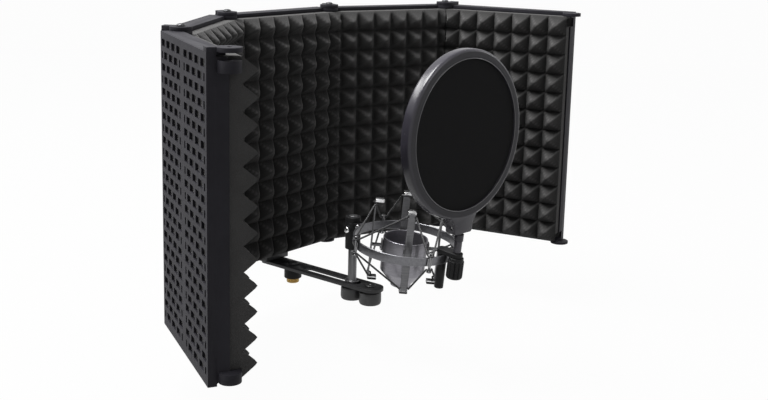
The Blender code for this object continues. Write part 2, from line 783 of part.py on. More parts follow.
for side in (-1, 1):
    near = FORK_INSIDE * side
    far = cheek_far * side
    cheeks.append(
        block(
            (min(near, far), fork_y, tilt_z - FORK_HALF_HEIGHT + LUG_STEP),
            (max(near, far), -POST_RADIUS - MM, tilt_z + FORK_HALF_HEIGHT - LUG_STEP),
        )
    )
    cheeks.append(moved(rod(FORK_HALF_HEIGHT, min(near, far), max(near, far), sides=14), cross))
screw_axis = Matrix.Translation((0.0, 0.0, COLLAR_SCREW_Z)) @ Matrix.Rotation(-math.pi / 2, 4, "Y")
boss_face = COLLAR_RADIUS + COLLAR_BOSS
lock_boss = moved(rod(COLLAR_BOSS_RADIUS, POST_RADIUS + MM, boss_face, sides=16), screw_axis)
collar = fuse(barrel, *cheeks, lock_boss)
collar = carve(
    collar,
    moved(rod(TILT_PIN_RADIUS + GAP, -cheek_far - MM, cheek_far + MM, sides=8), cross),
    moved(rod(COLLAR_SCREW_RADIUS + GAP, POST_RADIUS, boss_face + MM, sides=8), screw_axis),
)
part("collar", release(collar), KNOB_PLASTIC, spot(0.0, POST_Y, 0.0))
collar_screw_head = 2.2 * MM
collar_screw = turned(
    [
        *pan_head(COLLAR_SCREW_HEAD, boss_face + GAP, collar_screw_head),
        (COLLAR_SCREW_RADIUS, boss_face + GAP),
        (COLLAR_SCREW_RADIUS, POST_RADIUS + GAP),
        (0.0, POST_RADIUS + GAP),
    ],
    10,
    False,
)
collar_place = spot(0.0, POST_Y, 0.0) @ screw_axis
part("collar_screw", release(collar_screw), STEEL, collar_place)
pin_reach = cheek_far + GAP
tilt_pin = turned(
    [
        *pan_head(TILT_PIN_HEAD, pin_reach, TILT_PIN_HEAD_THICK),
        (TILT_PIN_RADIUS, pin_reach),
        (TILT_PIN_RADIUS, -pin_reach),
        (0.0, -pin_reach),
    ],
    12,
    False,
)
pin_axis = Matrix.Translation((0.0, TILT_PIVOT_Y, tilt_z)) @ Matrix.Rotation(-math.pi / 2, 4, "Y")
part("tilt_pin", release(tilt_pin), STEEL, pin_axis)

# Ring frame: x across, y towards the shield, z up the ring's axis, origin on the tilt pivot
ring_turn = Matrix.Rotation(math.radians(TILT_REST), 4, "X")
ring_frame = Matrix.Translation((0.0, TILT_PIVOT_Y, tilt_z)) @ ring_turn
to_centre = Matrix.Translation((0.0, -ring_reach, 0.0))
centre_frame = ring_frame @ to_centre

ring_inner = RING_RADIUS - RING_THICK
ring_half = RING_HEIGHT / 2
ring_bevel = 0.6 * MM
band = turned(
    [
        (ring_inner, ring_half),
        (RING_RADIUS - ring_bevel, ring_half),
        (RING_RADIUS, ring_half - ring_bevel),
        (RING_RADIUS, -ring_half + ring_bevel),
        (RING_RADIUS - ring_bevel, -ring_half),
        (ring_inner, -ring_half),
    ],
    48,
    True,
)
tongue_half = FORK_INSIDE - GAP
tongue_axis = Matrix.Translation((0.0, ring_reach, 0.0)) @ Matrix.Rotation(math.pi / 2, 4, "Y")
tongue_height = FORK_HALF_HEIGHT - GAP
band = fuse(
    band,
    block(
        (-tongue_half, RING_RADIUS - RING_THICK / 2, -tongue_height + LUG_STEP),
        (tongue_half, ring_reach, tongue_height - LUG_STEP),
    ),
    moved(rod(tongue_height, -tongue_half, tongue_half, sides=14), tongue_axis),
)
band = carve(band, moved(rod(TILT_PIN_RADIUS + GAP, -cheek_far, cheek_far, sides=8), tongue_axis))
part("shock_ring", release(moved(band, to_centre)), CUP_METAL, ring_frame)

# Cord hooks: a saddle against the band with an upright pin that carries both cords
hook_radius = RING_RADIUS + HOOK_STAND_OFF
hook = fuse(
    rod(HOOK_PIN_RADIUS, -HOOK_HALF_LENGTH, HOOK_HALF_LENGTH, hook_radius, 0.0, 8),
    rod(HOOK_HEAD_RADIUS, HOOK_HALF_LENGTH - HOOK_HEAD_HEIGHT, HOOK_HALF_LENGTH, hook_radius, 0.0, 8),
    rod(HOOK_HEAD_RADIUS, -HOOK_HALF_LENGTH, HOOK_HEAD_HEIGHT - HOOK_HALF_LENGTH, hook_radius, 0.0, 8),
    block(
        (RING_RADIUS + GAP, -HOOK_SADDLE_HALF, -HOOK_SADDLE_HEIGHT / 2),
        (hook_radius, HOOK_SADDLE_HALF, HOOK_SADDLE_HEIGHT / 2),
    ),
)
hook_mesh = release(hook)
for k in range(ARM_COUNT):
    angle = math.radians(ARM_AZIMUTH + HOOK_LEAD + k * 360 / ARM_COUNT)
    part(f"cord_hook_{k + 1}", hook_mesh, STEEL, centre_frame @ Matrix.Rotation(angle, 4, "Z"))

# Cup and strap arms, bent inwards at both ends
cup_knee = CUP_RIM_Z - CUP_CYLINDER
cup = turned(
    [
        (0.0, CUP_FOOT_Z + CUP_FLOOR),
        (CUP_FOOT_RADIUS - CUP_WALL, CUP_FOOT_Z + CUP_FLOOR),
        (CUP_RADIUS - CUP_WALL, cup_knee),
        (CUP_RADIUS - CUP_WALL, CUP_RIM_Z),
        (CUP_RADIUS, CUP_RIM_Z),
        (CUP_RADIUS, cup_knee),
        (CUP_FOOT_RADIUS, CUP_FOOT_Z + CUP_FLOOR),
        (CUP_FOOT_RADIUS, CUP_FOOT_Z),
        (0.0, CUP_FOOT_Z),
    ],
    32,
    False,
)
part("cup", release(cup), CUP_METAL, centre_frame)

arm_radius = RING_RADIUS - ARM_INSET
arm_in = arm_radius - ARM_THICK / 2
arm_out = arm_radius + ARM_THICK / 2
arm_half = ARM_WIDTH / 2
lip_half = arm_half + ARM_LIP_SIDE
lip_in = arm_in - ARM_LIP_REACH
tab_in = CUP_RADIUS + GAP
cord_reach = CORD_RADIUS + CORD_CLEAR
cord_top_z = ARM_TOP_Z - ARM_LIP_THICK - ARM_NOTCH_DROP - cord_reach
cord_low_z = ARM_LOW_Z + ARM_LIP_THICK + ARM_NOTCH_DROP + cord_reach
strap = fuse(
    block((arm_in, -arm_half, ARM_LOW_Z), (arm_out, arm_half, ARM_TOP_Z)),
    block((lip_in, -lip_half, ARM_TOP_Z - ARM_LIP_THICK), (arm_out, lip_half, ARM_TOP_Z)),
    block((lip_in, -lip_half, ARM_LOW_Z), (arm_out, lip_half, ARM_LOW_Z + ARM_LIP_THICK)),
    block((tab_in, -arm_half, ARM_LEG_Z), (arm_out, arm_half, ARM_LEG_Z + ARM_THICK)),
    block((tab_in, -arm_half, ARM_TAB_LOW_Z), (tab_in + ARM_THICK, arm_half, ARM_TAB_TOP_Z)),
)
# Side notches that keep each cord from sliding along the strap
notches = []
for level in (cord_top_z, cord_low_z):
    for side in (-1, 1):
        edges = sorted((side * (arm_half - ARM_NOTCH), side * (arm_half + MM)))
        notches.append(
            block((arm_in - MM, edges[0], level - cord_reach), (arm_out + MM, edges[1], level + cord_reach))
        )
strap_mesh = release(carve(strap, *notches))
for k in range(ARM_COUNT):
    angle = math.radians(ARM_AZIMUTH + k * 360 / ARM_COUNT)
    part(f"strap_arm_{k + 1}", strap_mesh, GREY_STEEL, centre_frame @ Matrix.Rotation(angle, 4, "Z"))


# Elastic cords: a closed zig-zag, round the inner face of each strap and the outside of each hook
def cord(direction):
    arm_z = cord_top_z if direction > 0 else cord_low_z
    hook_z = direction * HOOK_CORD_Z
    side = arm_half - ARM_NOTCH + cord_reach + CORD_EASE
    inside = arm_in - cord_reach - CORD_EASE
    arm_points = [
        (arm_radius, -side, arm_z),
        (inside, -arm_half + ARM_NOTCH, arm_z),
        (inside, arm_half - ARM_NOTCH, arm_z),
        (arm_radius, side, arm_z),
    ]
    bend = HOOK_PIN_RADIUS + cord_reach + CORD_EASE
    hook_points = []
    for angle in HOOK_WRAP:
        across = bend * math.sin(math.radians(angle))
        out = bend * math.cos(math.radians(angle))
        hook_points.append((hook_radius + out, across, hook_z))
    route = []
    for k in range(ARM_COUNT):
        at_arm = Matrix.Rotation(math.radians(ARM_AZIMUTH + k * 360 / ARM_COUNT), 4, "Z")
        at_hook = Matrix.Rotation(math.radians(ARM_AZIMUTH + HOOK_LEAD + k * 360 / ARM_COUNT), 4, "Z")
        route += [at_arm @ Vector(point) for point in arm_points]
        route += [at_hook @ Vector(point) for point in hook_points]
    curve = bpy.data.curves.new("cord", "CURVE")
    curve.dimensions = "3D"
    curve.bevel_depth = CORD_RADIUS
    curve.bevel_resolution = 1
    spline = curve.splines.new("POLY")
    spline.points.add(len(route) - 1)
    for point, place in zip(spline.points, route):
        point.co = (*place, 1.0)
    spline.use_cyclic_u = True
    obj = bpy.data.objects.new("cord", curve)
    TOOLS.objects.link(obj)
    return release(settle(obj))


part("upper_cord", cord(1), CORD, centre_frame)
part("lower_cord", cord(-1), CORD, centre_frame)

# Pop-filter clamp over the front of the band: bridge, inner jaw and outer lip
bridge_low = ring_half + GAP
bridge_top = bridge_low + CLAMP_THICK
jaw_y = -ring_inner + GAP + CLAMP_JAW_RADIUS
lip_y = -RING_RADIUS - GAP
pop_post_y = -RING_RADIUS - POP_POST_REACH
clamp_outline = arc(0.0, pop_post_y, CLAMP_HALF_WIDTH, 180, 360, 10)
clamp_outline += arc(0.0, jaw_y, CLAMP_HALF_WIDTH, 0, 180, 10)
clamp = fuse(
    plate(clamp_outline, bridge_low, bridge_top),
    rod(CLAMP_JAW_RADIUS, CLAMP_JAW_LOW_Z, bridge_low + MM, y=jaw_y, sides=14),
    block(
        (-CLAMP_HALF_WIDTH, lip_y - CLAMP_LIP, bridge_low - CLAMP_LIP_DEPTH),
        (-CLAMP_LIP_INSIDE, lip_y, bridge_low + MM),
    ),
    block(
        (CLAMP_LIP_INSIDE, lip_y - CLAMP_LIP, bridge_low - CLAMP_LIP_DEPTH),
        (CLAMP_HALF_WIDTH, lip_y, bridge_low + MM),
    ),
)
pop_stud_hole = POP_STUD_RADIUS + GAP
clamp = carve(clamp, rod(pop_stud_hole, bridge_low - MM, bridge_top + MM, y=pop_post_y, sides=14))
part("pop_clamp", release(clamp), KNOB_PLASTIC, centre_frame)

knob_frame = centre_frame @ Matrix.Translation((0.0, pop_post_y, 0.0))
knob_top = bridge_low - GAP
knob_low = knob_top - KNOB_HEIGHT
pop_stud_end = knob_low + KNOB_FLOOR
knob_neck = knob_top - KNOB_FLANGE
knob = carve(
    fuse(
        plate(lobed(KNOB_RADIUS, KNOB_LOBE_DEPTH, KNOB_LOBES), knob_low, knob_neck),
        rod(KNOB_RADIUS - KNOB_FLANGE_INSET, knob_neck - MM, knob_top, sides=14),
    ),
    rod(pop_stud_hole, pop_stud_end - GAP, knob_top + MM, sides=14),
)
part("clamp_knob", release(knob), KNOB_PLASTIC, knob_frame)

pop_seat = bridge_top + GAP
holder_low = pop_seat + POP_POST_TOP
holder_top = holder_low + HOLDER_HEIGHT
pop_stud_top = holder_top - HOLDER_ROOF
pop_post = turned(
    [
        (0.0, pop_stud_top - GAP),
        (POP_STUD_RADIUS, pop_stud_top - GAP),
        (POP_STUD_RADIUS, holder_low - GAP),
        (POP_POST_RADIUS, holder_low - GAP),
        (POP_POST_RADIUS, pop_seat),
        (POP_STUD_RADIUS, pop_seat),
        (POP_STUD_RADIUS, pop_stud_end),
        (0.0, pop_stud_end),
    ],
    14,
    False,
)
post_turn = Matrix.Rotation(math.radians(POP_TURN), 4, "Z")
part("pop_post", release(pop_post), GREY_STEEL, knob_frame @ post_turn)

# Holder: a round sleeve on the post with a flat tongue that the hoop's foot tilts about
pivot_z = holder_top + TONGUE_RISE
lay = Matrix.Rotation(math.pi / 2, 4, "Y")
pivot_axis = Matrix.Translation((0.0, 0.0, pivot_z)) @ lay
screw_hole = POP_SCREW_RADIUS + GAP
holder = fuse(
    rod(HOLDER_RADIUS, holder_low, holder_top, sides=18),
    block((-TONGUE_HALF, -TONGUE_NECK, holder_top - MM), (TONGUE_HALF, TONGUE_NECK, pivot_z)),
    moved(rod(TONGUE_RADIUS, -TONGUE_HALF, TONGUE_HALF, sides=14), pivot_axis),
)
holder = carve(
    holder,
    rod(pop_stud_hole, holder_low - MM, pop_stud_top, sides=14),
    moved(rod(screw_hole, -TONGUE_HALF - MM, TONGUE_HALF + MM, sides=8), pivot_axis),
)
part("pop_holder", release(holder), HOOP_PLASTIC, knob_frame @ post_turn)
pop_reach = FOOT_HALF_WIDTH + GAP
pop_screw = turned(
    [
        *pan_head(POP_SCREW_HEAD, pop_reach, POP_SCREW_HEAD_THICK),
        (POP_SCREW_RADIUS, pop_reach),
        (POP_SCREW_RADIUS, -FOOT_HALF_WIDTH),
        (0.0, -FOOT_HALF_WIDTH),
    ],
    12,
    False,
)
screw_frame = knob_frame @ post_turn @ Matrix.Translation((0.0, 0.0, pivot_z))
part("pop_tilt_screw", release(pop_screw), STEEL, screw_frame @ lay)

# Hoop in its own frame: origin on the tilt screw, hoop axis along y, foot below with a pocket for the tongue
hoop_inner = HOOP_RADIUS - HOOP_FACE
hoop_half = HOOP_DEPTH / 2
hoop = turned(
    [
        (hoop_inner, hoop_half),
        (HOOP_RADIUS - HOOP_ROUND, hoop_half),
        (HOOP_RADIUS, hoop_half - HOOP_ROUND),
        (HOOP_RADIUS, -hoop_half + HOOP_ROUND),
        (HOOP_RADIUS - HOOP_ROUND, -hoop_half),
        (hoop_inner, -hoop_half),
    ],
    56,
    True,
)
upright = Matrix.Rotation(math.pi / 2, 4, "X")
hoop_lift = HOOP_DROP + HOOP_RADIUS
hoop_centre = Matrix.Translation((0.0, HOOP_SET_BACK, hoop_lift)) @ upright
sink_radius = HOOP_RADIUS - FOOT_SINK
sink_angle = math.degrees(math.asin(FOOT_SHOULDER / sink_radius))
foot_outline = arc(0.0, hoop_lift, sink_radius, 270 + sink_angle, 270 - sink_angle, 6)
foot_outline += [(-FOOT_HALF_WIDTH, FOOT_SIDE_TOP), (-FOOT_HALF_WIDTH, -FOOT_BELOW)]
foot_outline += [(FOOT_HALF_WIDTH, -FOOT_BELOW), (FOOT_HALF_WIDTH, FOOT_SIDE_TOP)]
foot = moved(plate(foot_outline, -FOOT_REAR, FOOT_FRONT), upright)
slot_side = TONGUE_HALF + GAP
hoop = fuse(moved(hoop, hoop_centre), foot)
hoop = carve(
    hoop,
    block(
        (-slot_side, -TONGUE_RADIUS - GAP, -FOOT_BELOW - MM),
        (slot_side, FOOT_REAR + MM, TONGUE_RADIUS + 2 * GAP),
    ),
    moved(rod(screw_hole, -FOOT_HALF_WIDTH - MM, FOOT_HALF_WIDTH + MM, sides=8), lay),
)
lean = Matrix.Rotation(math.radians(-POP_LEAN - TILT_REST), 4, "X")
hoop_frame = screw_frame @ lean
part("pop_hoop", release(hoop), HOOP_PLASTIC, hoop_frame)

mesh_radius = hoop_inner - GAP
for name, offset in (("pop_mesh_front", -MESH_OFFSET), ("pop_mesh_back", MESH_OFFSET)):
    disc = rod(mesh_radius, -MESH_THICK / 2, MESH_THICK / 2, sides=36)
    disc = moved(disc, Matrix.Translation((0.0, offset, 0.0)) @ hoop_centre)
    part(name, release(disc), MESH, hoop_frame)
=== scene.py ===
import bmesh
import bpy
import json
import math
from mathutils import Matrix, Vector, noise
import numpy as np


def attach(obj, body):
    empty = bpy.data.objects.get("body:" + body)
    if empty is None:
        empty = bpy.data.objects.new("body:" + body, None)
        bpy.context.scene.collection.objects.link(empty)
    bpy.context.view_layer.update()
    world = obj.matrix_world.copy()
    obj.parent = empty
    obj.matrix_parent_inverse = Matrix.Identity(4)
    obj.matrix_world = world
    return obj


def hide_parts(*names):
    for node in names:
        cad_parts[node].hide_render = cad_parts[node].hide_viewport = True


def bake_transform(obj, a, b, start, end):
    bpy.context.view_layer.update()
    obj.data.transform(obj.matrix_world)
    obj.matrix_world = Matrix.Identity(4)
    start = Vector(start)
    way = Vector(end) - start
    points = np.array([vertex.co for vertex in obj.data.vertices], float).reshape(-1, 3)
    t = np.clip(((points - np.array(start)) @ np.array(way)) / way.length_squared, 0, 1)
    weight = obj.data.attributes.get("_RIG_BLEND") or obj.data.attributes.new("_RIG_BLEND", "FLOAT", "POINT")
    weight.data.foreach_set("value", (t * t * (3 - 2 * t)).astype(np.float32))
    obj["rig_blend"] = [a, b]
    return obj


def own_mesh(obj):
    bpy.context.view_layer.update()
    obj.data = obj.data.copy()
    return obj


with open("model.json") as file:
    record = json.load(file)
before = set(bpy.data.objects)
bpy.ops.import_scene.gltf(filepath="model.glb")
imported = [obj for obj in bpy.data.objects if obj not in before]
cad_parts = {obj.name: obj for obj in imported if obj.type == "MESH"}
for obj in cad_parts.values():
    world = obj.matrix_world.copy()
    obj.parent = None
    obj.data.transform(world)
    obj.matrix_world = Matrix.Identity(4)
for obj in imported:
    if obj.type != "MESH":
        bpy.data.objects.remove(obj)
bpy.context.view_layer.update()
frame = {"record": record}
mm = 0.001
print("frame loaded")

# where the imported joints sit, so the looks turn about the same lines
joints = frame["record"]["behaviour"]["joints"]
jointPlace = {joint["name"]: Vector(joint.get("pos_m", (0, 0, 0))) for joint in joints}


# settings are written in millimetres and kept in metres
def inMm(value):
    if isinstance(value, (list, tuple)):
        return [inMm(part) for part in value]
    return value * mm


def sizes(**values):
    return {name: inMm(value) for name, value in values.items()}


# small shape helpers
weld = 0.002 * mm
flatAngle = 0.5
cornerShare = 0.45


def shift(x, y, z):
    return Matrix.Translation((x, y, z))


def turnX(angle):
    return Matrix.Rotation(math.radians(angle), 4, "X")


def turnY(angle):
    return Matrix.Rotation(math.radians(angle), 4, "Y")


def turnZ(angle):
    return Matrix.Rotation(math.radians(angle), 4, "Z")


def linked(name, data):
    obj = bpy.data.objects.new(name, data)
    bpy.context.scene.collection.objects.link(obj)
    return obj


def holder(mesh):
    return linked("work", mesh)


def moved(mesh, matrix):
    mesh.transform(matrix)
    mesh.update()
    return mesh


def meshFrom(bm, name):
    mesh = bpy.data.meshes.new(name)
    bm.to_mesh(mesh)
    bm.free()
    return mesh


def bakeMesh(obj):
    graph = bpy.context.evaluated_depsgraph_get()
    mesh = bpy.data.meshes.new_from_object(obj.evaluated_get(graph))
    bpy.data.objects.remove(obj, do_unlink=True)
    return mesh


def joined(meshes):
    bm = bmesh.new()
    for mesh in meshes:
        bm.from_mesh(mesh)
    return meshFrom(bm, "joined")


def addPiece(name, mesh, material, smoothAngle):
    mesh.materials.clear()
    mesh.materials.append(material)
    for face in mesh.polygons:
        face.use_smooth = True
    mesh.set_sharp_from_angle(angle=math.radians(smoothAngle))
    return linked(name, mesh)


def place(name, mesh, material, body, nodes, smoothAngle=35):
    # a finished piece that rides one body and stands for the CAD nodes named
    piece = addPiece(name, mesh, material, smoothAngle)
    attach(piece, body)
    if nodes:
        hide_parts(*nodes)
    return piece


def boxShape(low, high):
    low, high = Vector(low), Vector(high)
    bm = bmesh.new()
    bmesh.ops.create_cube(bm, size=1.0)
    bmesh.ops.scale(bm, vec=high - low, verts=bm.verts)
    bmesh.ops.translate(bm, vec=(high + low) / 2, verts=bm.verts)
    return holder(meshFrom(bm, "box"))


def rodShape(radius, low, high, x=0.0, y=0.0, sides=48, axis=None):
    # an upright rod, or one along the z of the given axis frame
    bm = bmesh.new()
    bmesh.ops.create_cone(bm, cap_ends=True, segments=sides, radius1=radius, radius2=radius, depth=high - low)
    bmesh.ops.translate(bm, vec=(x, y, (low + high) / 2), verts=bm.verts)
    mesh = meshFrom(bm, "rod")
    if axis is not None:
        moved(mesh, axis)
    return holder(mesh)


def plateShape(outline, low, high):
    bm = bmesh.new()
    face = bm.faces.new([bm.verts.new((x, y, low)) for x, y in outline])
    grown = bmesh.ops.extrude_face_region(bm, geom=[face])["geom"]
    upper = [part for part in grown if isinstance(part, bmesh.types.BMVert)]
    bmesh.ops.translate(bm, vec=(0, 0, high - low), verts=upper)
    bmesh.ops.recalc_face_normals(bm, faces=bm.faces)
    return holder(meshFrom(bm, "plate"))


def combine(base, operation, tools):
    for tool in tools:
        mod = base.modifiers.new(operation, "BOOLEAN")
        mod.operation = operation
        mod.object = tool
        mod.solver = "EXACT"
    mesh = bakeMesh(base)
    for tool in tools:
        bpy.data.objects.remove(tool, do_unlink=True)
    return holder(mesh)


def softenEdges(obj, width, segments=2, angle=35):
    bm = bmesh.new()
    bm.from_mesh(obj.data)
    bmesh.ops.remove_doubles(bm, verts=bm.verts, dist=weld)
    bmesh.ops.dissolve_limit(bm, angle_limit=math.radians(flatAngle), verts=bm.verts, edges=bm.edges)
    bm.to_mesh(obj.data)
    bm.free()
    bevel = obj.modifiers.new("edges", "BEVEL")
    bevel.width = width
    bevel.segments = segments
    bevel.limit_method = "ANGLE"
    bevel.angle_limit = math.radians(angle)
    bevel.use_clamp_overlap = True
    return bakeMesh(obj)


def softBox(low, high, width, segments=2):
    return softenEdges(boxShape(low, high), width, segments)


def latheMesh(profile, steps=64, closed=False, flute=None):
    # flute = (count, depth, fromRadius): shallow grip hollows round the outside
    bm = bmesh.new()
    rings = []
    for radius, height in profile:
        if radius < 1e-7:
            rings.append([bm.verts.new((0, 0, height))])
            continue
        ring = []
        for i in range(steps):
            turn = 2 * math.pi * i / steps
            reach = radius
            if flute and radius >= flute[2]:
                reach -= flute[1] * max(0.0, math.cos(flute[0] * turn)) ** 2
            ring.append(bm.verts.new((reach * math.cos(turn), reach * math.sin(turn), height)))
        rings.append(ring)
    pairs = list(zip(rings, rings[1:]))
    if closed:
        pairs.append((rings[-1], rings[0]))
    for upper, lower in pairs:
        for i in range(steps):
            k = (i + 1) % steps
            if len(upper) == 1 and len(lower) == 1:
                continue
            if len(upper) == 1:
                bm.faces.new((upper[0], lower[i], lower[k]))
            elif len(lower) == 1:
                bm.faces.new((upper[i], lower[0], upper[k]))
            else:
                bm.faces.new((upper[i], lower[i], lower[k], upper[k]))
    bmesh.ops.recalc_face_normals(bm, faces=bm.faces)
    return meshFrom(bm, "lathe")


def roundedProfile(points, radius, steps=3, closed=False):
    # rounds the inner corners of a polyline of (radius, height) points
    out = []
    count = len(points)
    for i, point in enumerate(points):
        if not closed and i in (0, count - 1):
            out.append(tuple(point))
            continue
        here = Vector(point)
        before = Vector(points[i - 1]) - here
        after = Vector(points[(i + 1) % count]) - here
        cut = min(radius, before.length * cornerShare, after.length * cornerShare)
        start = here + before.normalized() * cut
        end = here + after.normalized() * cut
        for k in range(steps + 1):
            t = k / steps
            spot = start * (1 - t) ** 2 + here * 2 * t * (1 - t) + end * t ** 2
            out.append((spot.x, spot.y))
    return out


def turned(points, radius, steps, corner=3, closed=False, flute=None):
    return latheMesh(roundedProfile(points, radius, corner, closed), steps, closed, flute)


def arcPoints(cx, cy, radius, first, last, steps):
    out = []
    for i in range(steps + 1):
        turn = math.radians(first + (last - first) * i / steps)
        out.append((cx + radius * math.cos(turn), cy + radius * math.sin(turn)))
    return out


# node helpers
def feed(tree, node, feeds):
    # gives each socket a value, a wire from another socket, or a list of wires
    for key, value in feeds.items():
        for source in value if isinstance(value, list) else [value]:
            if isinstance(source, bpy.types.NodeSocket):
                tree.links.new(source, node.inputs[key])
            else:
                node.inputs[key].default_value = source


def addNode(tree, kind, feeds=None, **settings):
    node = tree.nodes.new(kind)
    for key, value in settings.items():
        setattr(node, key, value)
    feed(tree, node, feeds or {})
    return node


def maths(tree, operation, *values):
    return addNode(tree, "ShaderNodeMath", dict(enumerate(values)), operation=operation).outputs[0]


def newTree(name, inputs, output):
    tree = bpy.data.node_groups.new(name, "GeometryNodeTree")
    for socket, kind in inputs.items():
        tree.interface.new_socket(socket, in_out="INPUT", socket_type="NodeSocket" + kind)
    tree.interface.new_socket(output, in_out="OUTPUT", socket_type="NodeSocketGeometry")
    return tree, tree.nodes.new("NodeGroupInput").outputs


def endTree(tree, geometry, material):
    real = addNode(tree, "GeometryNodeRealizeInstances", {"Geometry": geometry})
    paint = addNode(tree, "GeometryNodeSetMaterial", {"Geometry": real.outputs["Geometry"], "Material": material})
    addNode(tree, "NodeGroupOutput", {0: paint.outputs["Geometry"]})
    return tree


def useTree(obj, tree, values):
    mod = obj.modifiers.new(tree.name, "NODES")
    mod.node_group = tree
    sockets = [item for item in tree.interface.items_tree if item.item_type == "SOCKET"]
    names = {socket.name: socket.identifier for socket in sockets if socket.in_out == "INPUT"}
    for name, value in values.items():
        mod[names[name]] = value
    return bakeMesh(obj)


# materials
plasticGrain = {"cloud": 38.0, "marks": 160.0, "spark": 2600.0, "depth": 0.08 * mm}
metalGrain = {"streak": 420.0, "depth": 0.05 * mm}
foamLook = {"cells": 900.0, "pits": 1500.0, "cloud": 26.0, "pitDepth": 0.5 * mm,
            "dark": (0.0276, 0.0271, 0.027), "light": (0.0392, 0.0385, 0.0382), "dust": (0.0508, 0.05, 0.0496),
            "sheen": 0.12, "sheenRough": 0.6, "sheenTint": (0.48, 0.475, 0.475)}
weaveLook = {"threads": 95.0, "depth": 0.15 * mm, "dark": (0.009, 0.009, 0.0095), "light": (0.02, 0.02, 0.0205)}
braidLook = {"bands": 1.3, "depth": 0.2 * mm, "dark": (0.035, 0.035, 0.036), "light": (0.13, 0.13, 0.132)}


def newMaterial(name, colour, roughness, metallic=0.0, specular=0.5):
    mat = bpy.data.materials.new(name)
    mat.use_nodes = True
    shader = mat.node_tree.nodes["Principled BSDF"]
    feed(mat.node_tree, shader, {"Base Color": (*colour, 1), "Roughness": roughness, "Metallic": metallic,
                                 "Specular IOR Level": specular})
    return mat, mat.node_tree, shader


def objectCoords(tree):
    return addNode(tree, "ShaderNodeTexCoord").outputs["Object"]


def noiseNode(tree, coords, scale, detail=4.0, rough=0.55):
    feeds = {"Vector": coords, "Scale": scale, "Detail": detail, "Roughness": rough}
    return addNode(tree, "ShaderNodeTexNoise", feeds).outputs["Fac"]


def rampNode(tree, value, *stops):
    ramp = addNode(tree, "ShaderNodeValToRGB", {"Fac": value})
    for element, (position, colour) in zip(ramp.color_ramp.elements, stops):
        element.position = position
        element.color = (*colour, 1)
    return ramp.outputs["Color"]


def spanNode(tree, value, low, high):
    return addNode(tree, "ShaderNodeMapRange", {"Value": value, "To Min": low, "To Max": high}).outputs["Result"]


def bumpNode(tree, height, strength, distance):
    feeds = {"Height": height, "Strength": strength, "Distance": distance}
    return addNode(tree, "ShaderNodeBump", feeds).outputs["Normal"]


def scaledColour(tree, colour, factor):
    return addNode(tree, "ShaderNodeVectorMath", {0: colour, "Scale": factor}, operation="SCALE").outputs["Vector"]


def markNode(tree, name):
    return addNode(tree, "ShaderNodeAttribute", attribute_name=name).outputs["Fac"]


def mouldedPlastic(name, dark, light, roughLow, roughHigh, grain, specular):
    # satin moulded plastic: fine spark texture, faint handling marks
    mat, tree, shader = newMaterial(name, light, roughLow, 0.0, specular)
    coords = objectCoords(tree)
    cloud = noiseNode(tree, coords, plasticGrain["cloud"], 3.0)
    marks = noiseNode(tree, coords, plasticGrain["marks"], 5.0)
    spark = noiseNode(tree, coords, plasticGrain["spark"], 2.0)
    feed(tree, shader, {"Base Color": rampNode(tree, cloud, (0.3, dark), (0.75, light)),
                        "Roughness": spanNode(tree, marks, roughLow, roughHigh),
                        "Normal": bumpNode(tree, spark, grain, plasticGrain["depth"])})
    return mat


def mattShadeMarked(mat, paintedShadeLeft, roughRise):
    # where the piece's own mark is 1, the plastic has a coarser texture and its colour is darkened as painted shade
    tree = mat.node_tree
    shader = tree.nodes["Principled BSDF"]
    colour, rough = (shader.inputs[name].links[0].from_socket for name in ("Base Color", "Roughness"))
    mark = markNode(tree, "mattAndShaded")
    feed(tree, shader, {"Base Color": scaledColour(tree, colour, spanNode(tree, mark, 1.0, paintedShadeLeft)),
                        "Roughness": maths(tree, "MULTIPLY_ADD", mark, roughRise, rough)})


def coatedMetal(name, dark, light, roughLow, roughHigh, metallic, grainScale=(1, 1, 1), grain=0.15):
    mat, tree, shader = newMaterial(name, light, roughLow, metallic)
    mapping = addNode(tree, "ShaderNodeMapping", {"Vector": objectCoords(tree), "Scale": grainScale})
    streak = noiseNode(tree, mapping.outputs["Vector"], metalGrain["streak"], 5.0, 0.6)
    feed(tree, shader, {"Base Color": rampNode(tree, streak, (0.3, dark), (0.72, light)),
                        "Roughness": spanNode(tree, streak, roughLow, roughHigh),
                        "Normal": bumpNode(tree, streak, grain, metalGrain["depth"])})
    return mat


def foamMaterial():
    # open cells: small pits in two sizes; the mark paints shade that keeps valleys dark and painted highlights that
    # make tips and ridges paler, and gives the sawn sides their own tone
    look = foamLook
    mat, tree, shader = newMaterial("charcoalFoam", (0.03, 0.029, 0.029), 0.95, 0.0, 0.15)
    coords = objectCoords(tree)
    cells = addNode(tree, "ShaderNodeTexVoronoi", {"Vector": coords, "Scale": look["cells"]})
    small = noiseNode(tree, coords, look["pits"], 3.0, 0.7)
    cloud = noiseNode(tree, coords, look["cloud"], 3.0)
    pits = maths(tree, "MULTIPLY", cells.outputs["Distance"], small)
    tone = addNode(tree, "ShaderNodeMix", {
        "Factor": pits, "A": rampNode(tree, cloud, (0.3, look["dark"]), (0.7, look["light"])),
        "B": (*look["dust"], 1)}, data_type="RGBA")
    feed(tree, shader, {
        "Base Color": scaledColour(tree, tone.outputs["Result"], markNode(tree, "paintedLightAndSawnTone")),
        "Normal": bumpNode(tree, pits, 0.9, look["pitDepth"]), "Sheen Weight": look["sheen"],
        "Sheen Roughness": look["sheenRough"], "Sheen Tint": (*look["sheenTint"], 1)})
    return mat


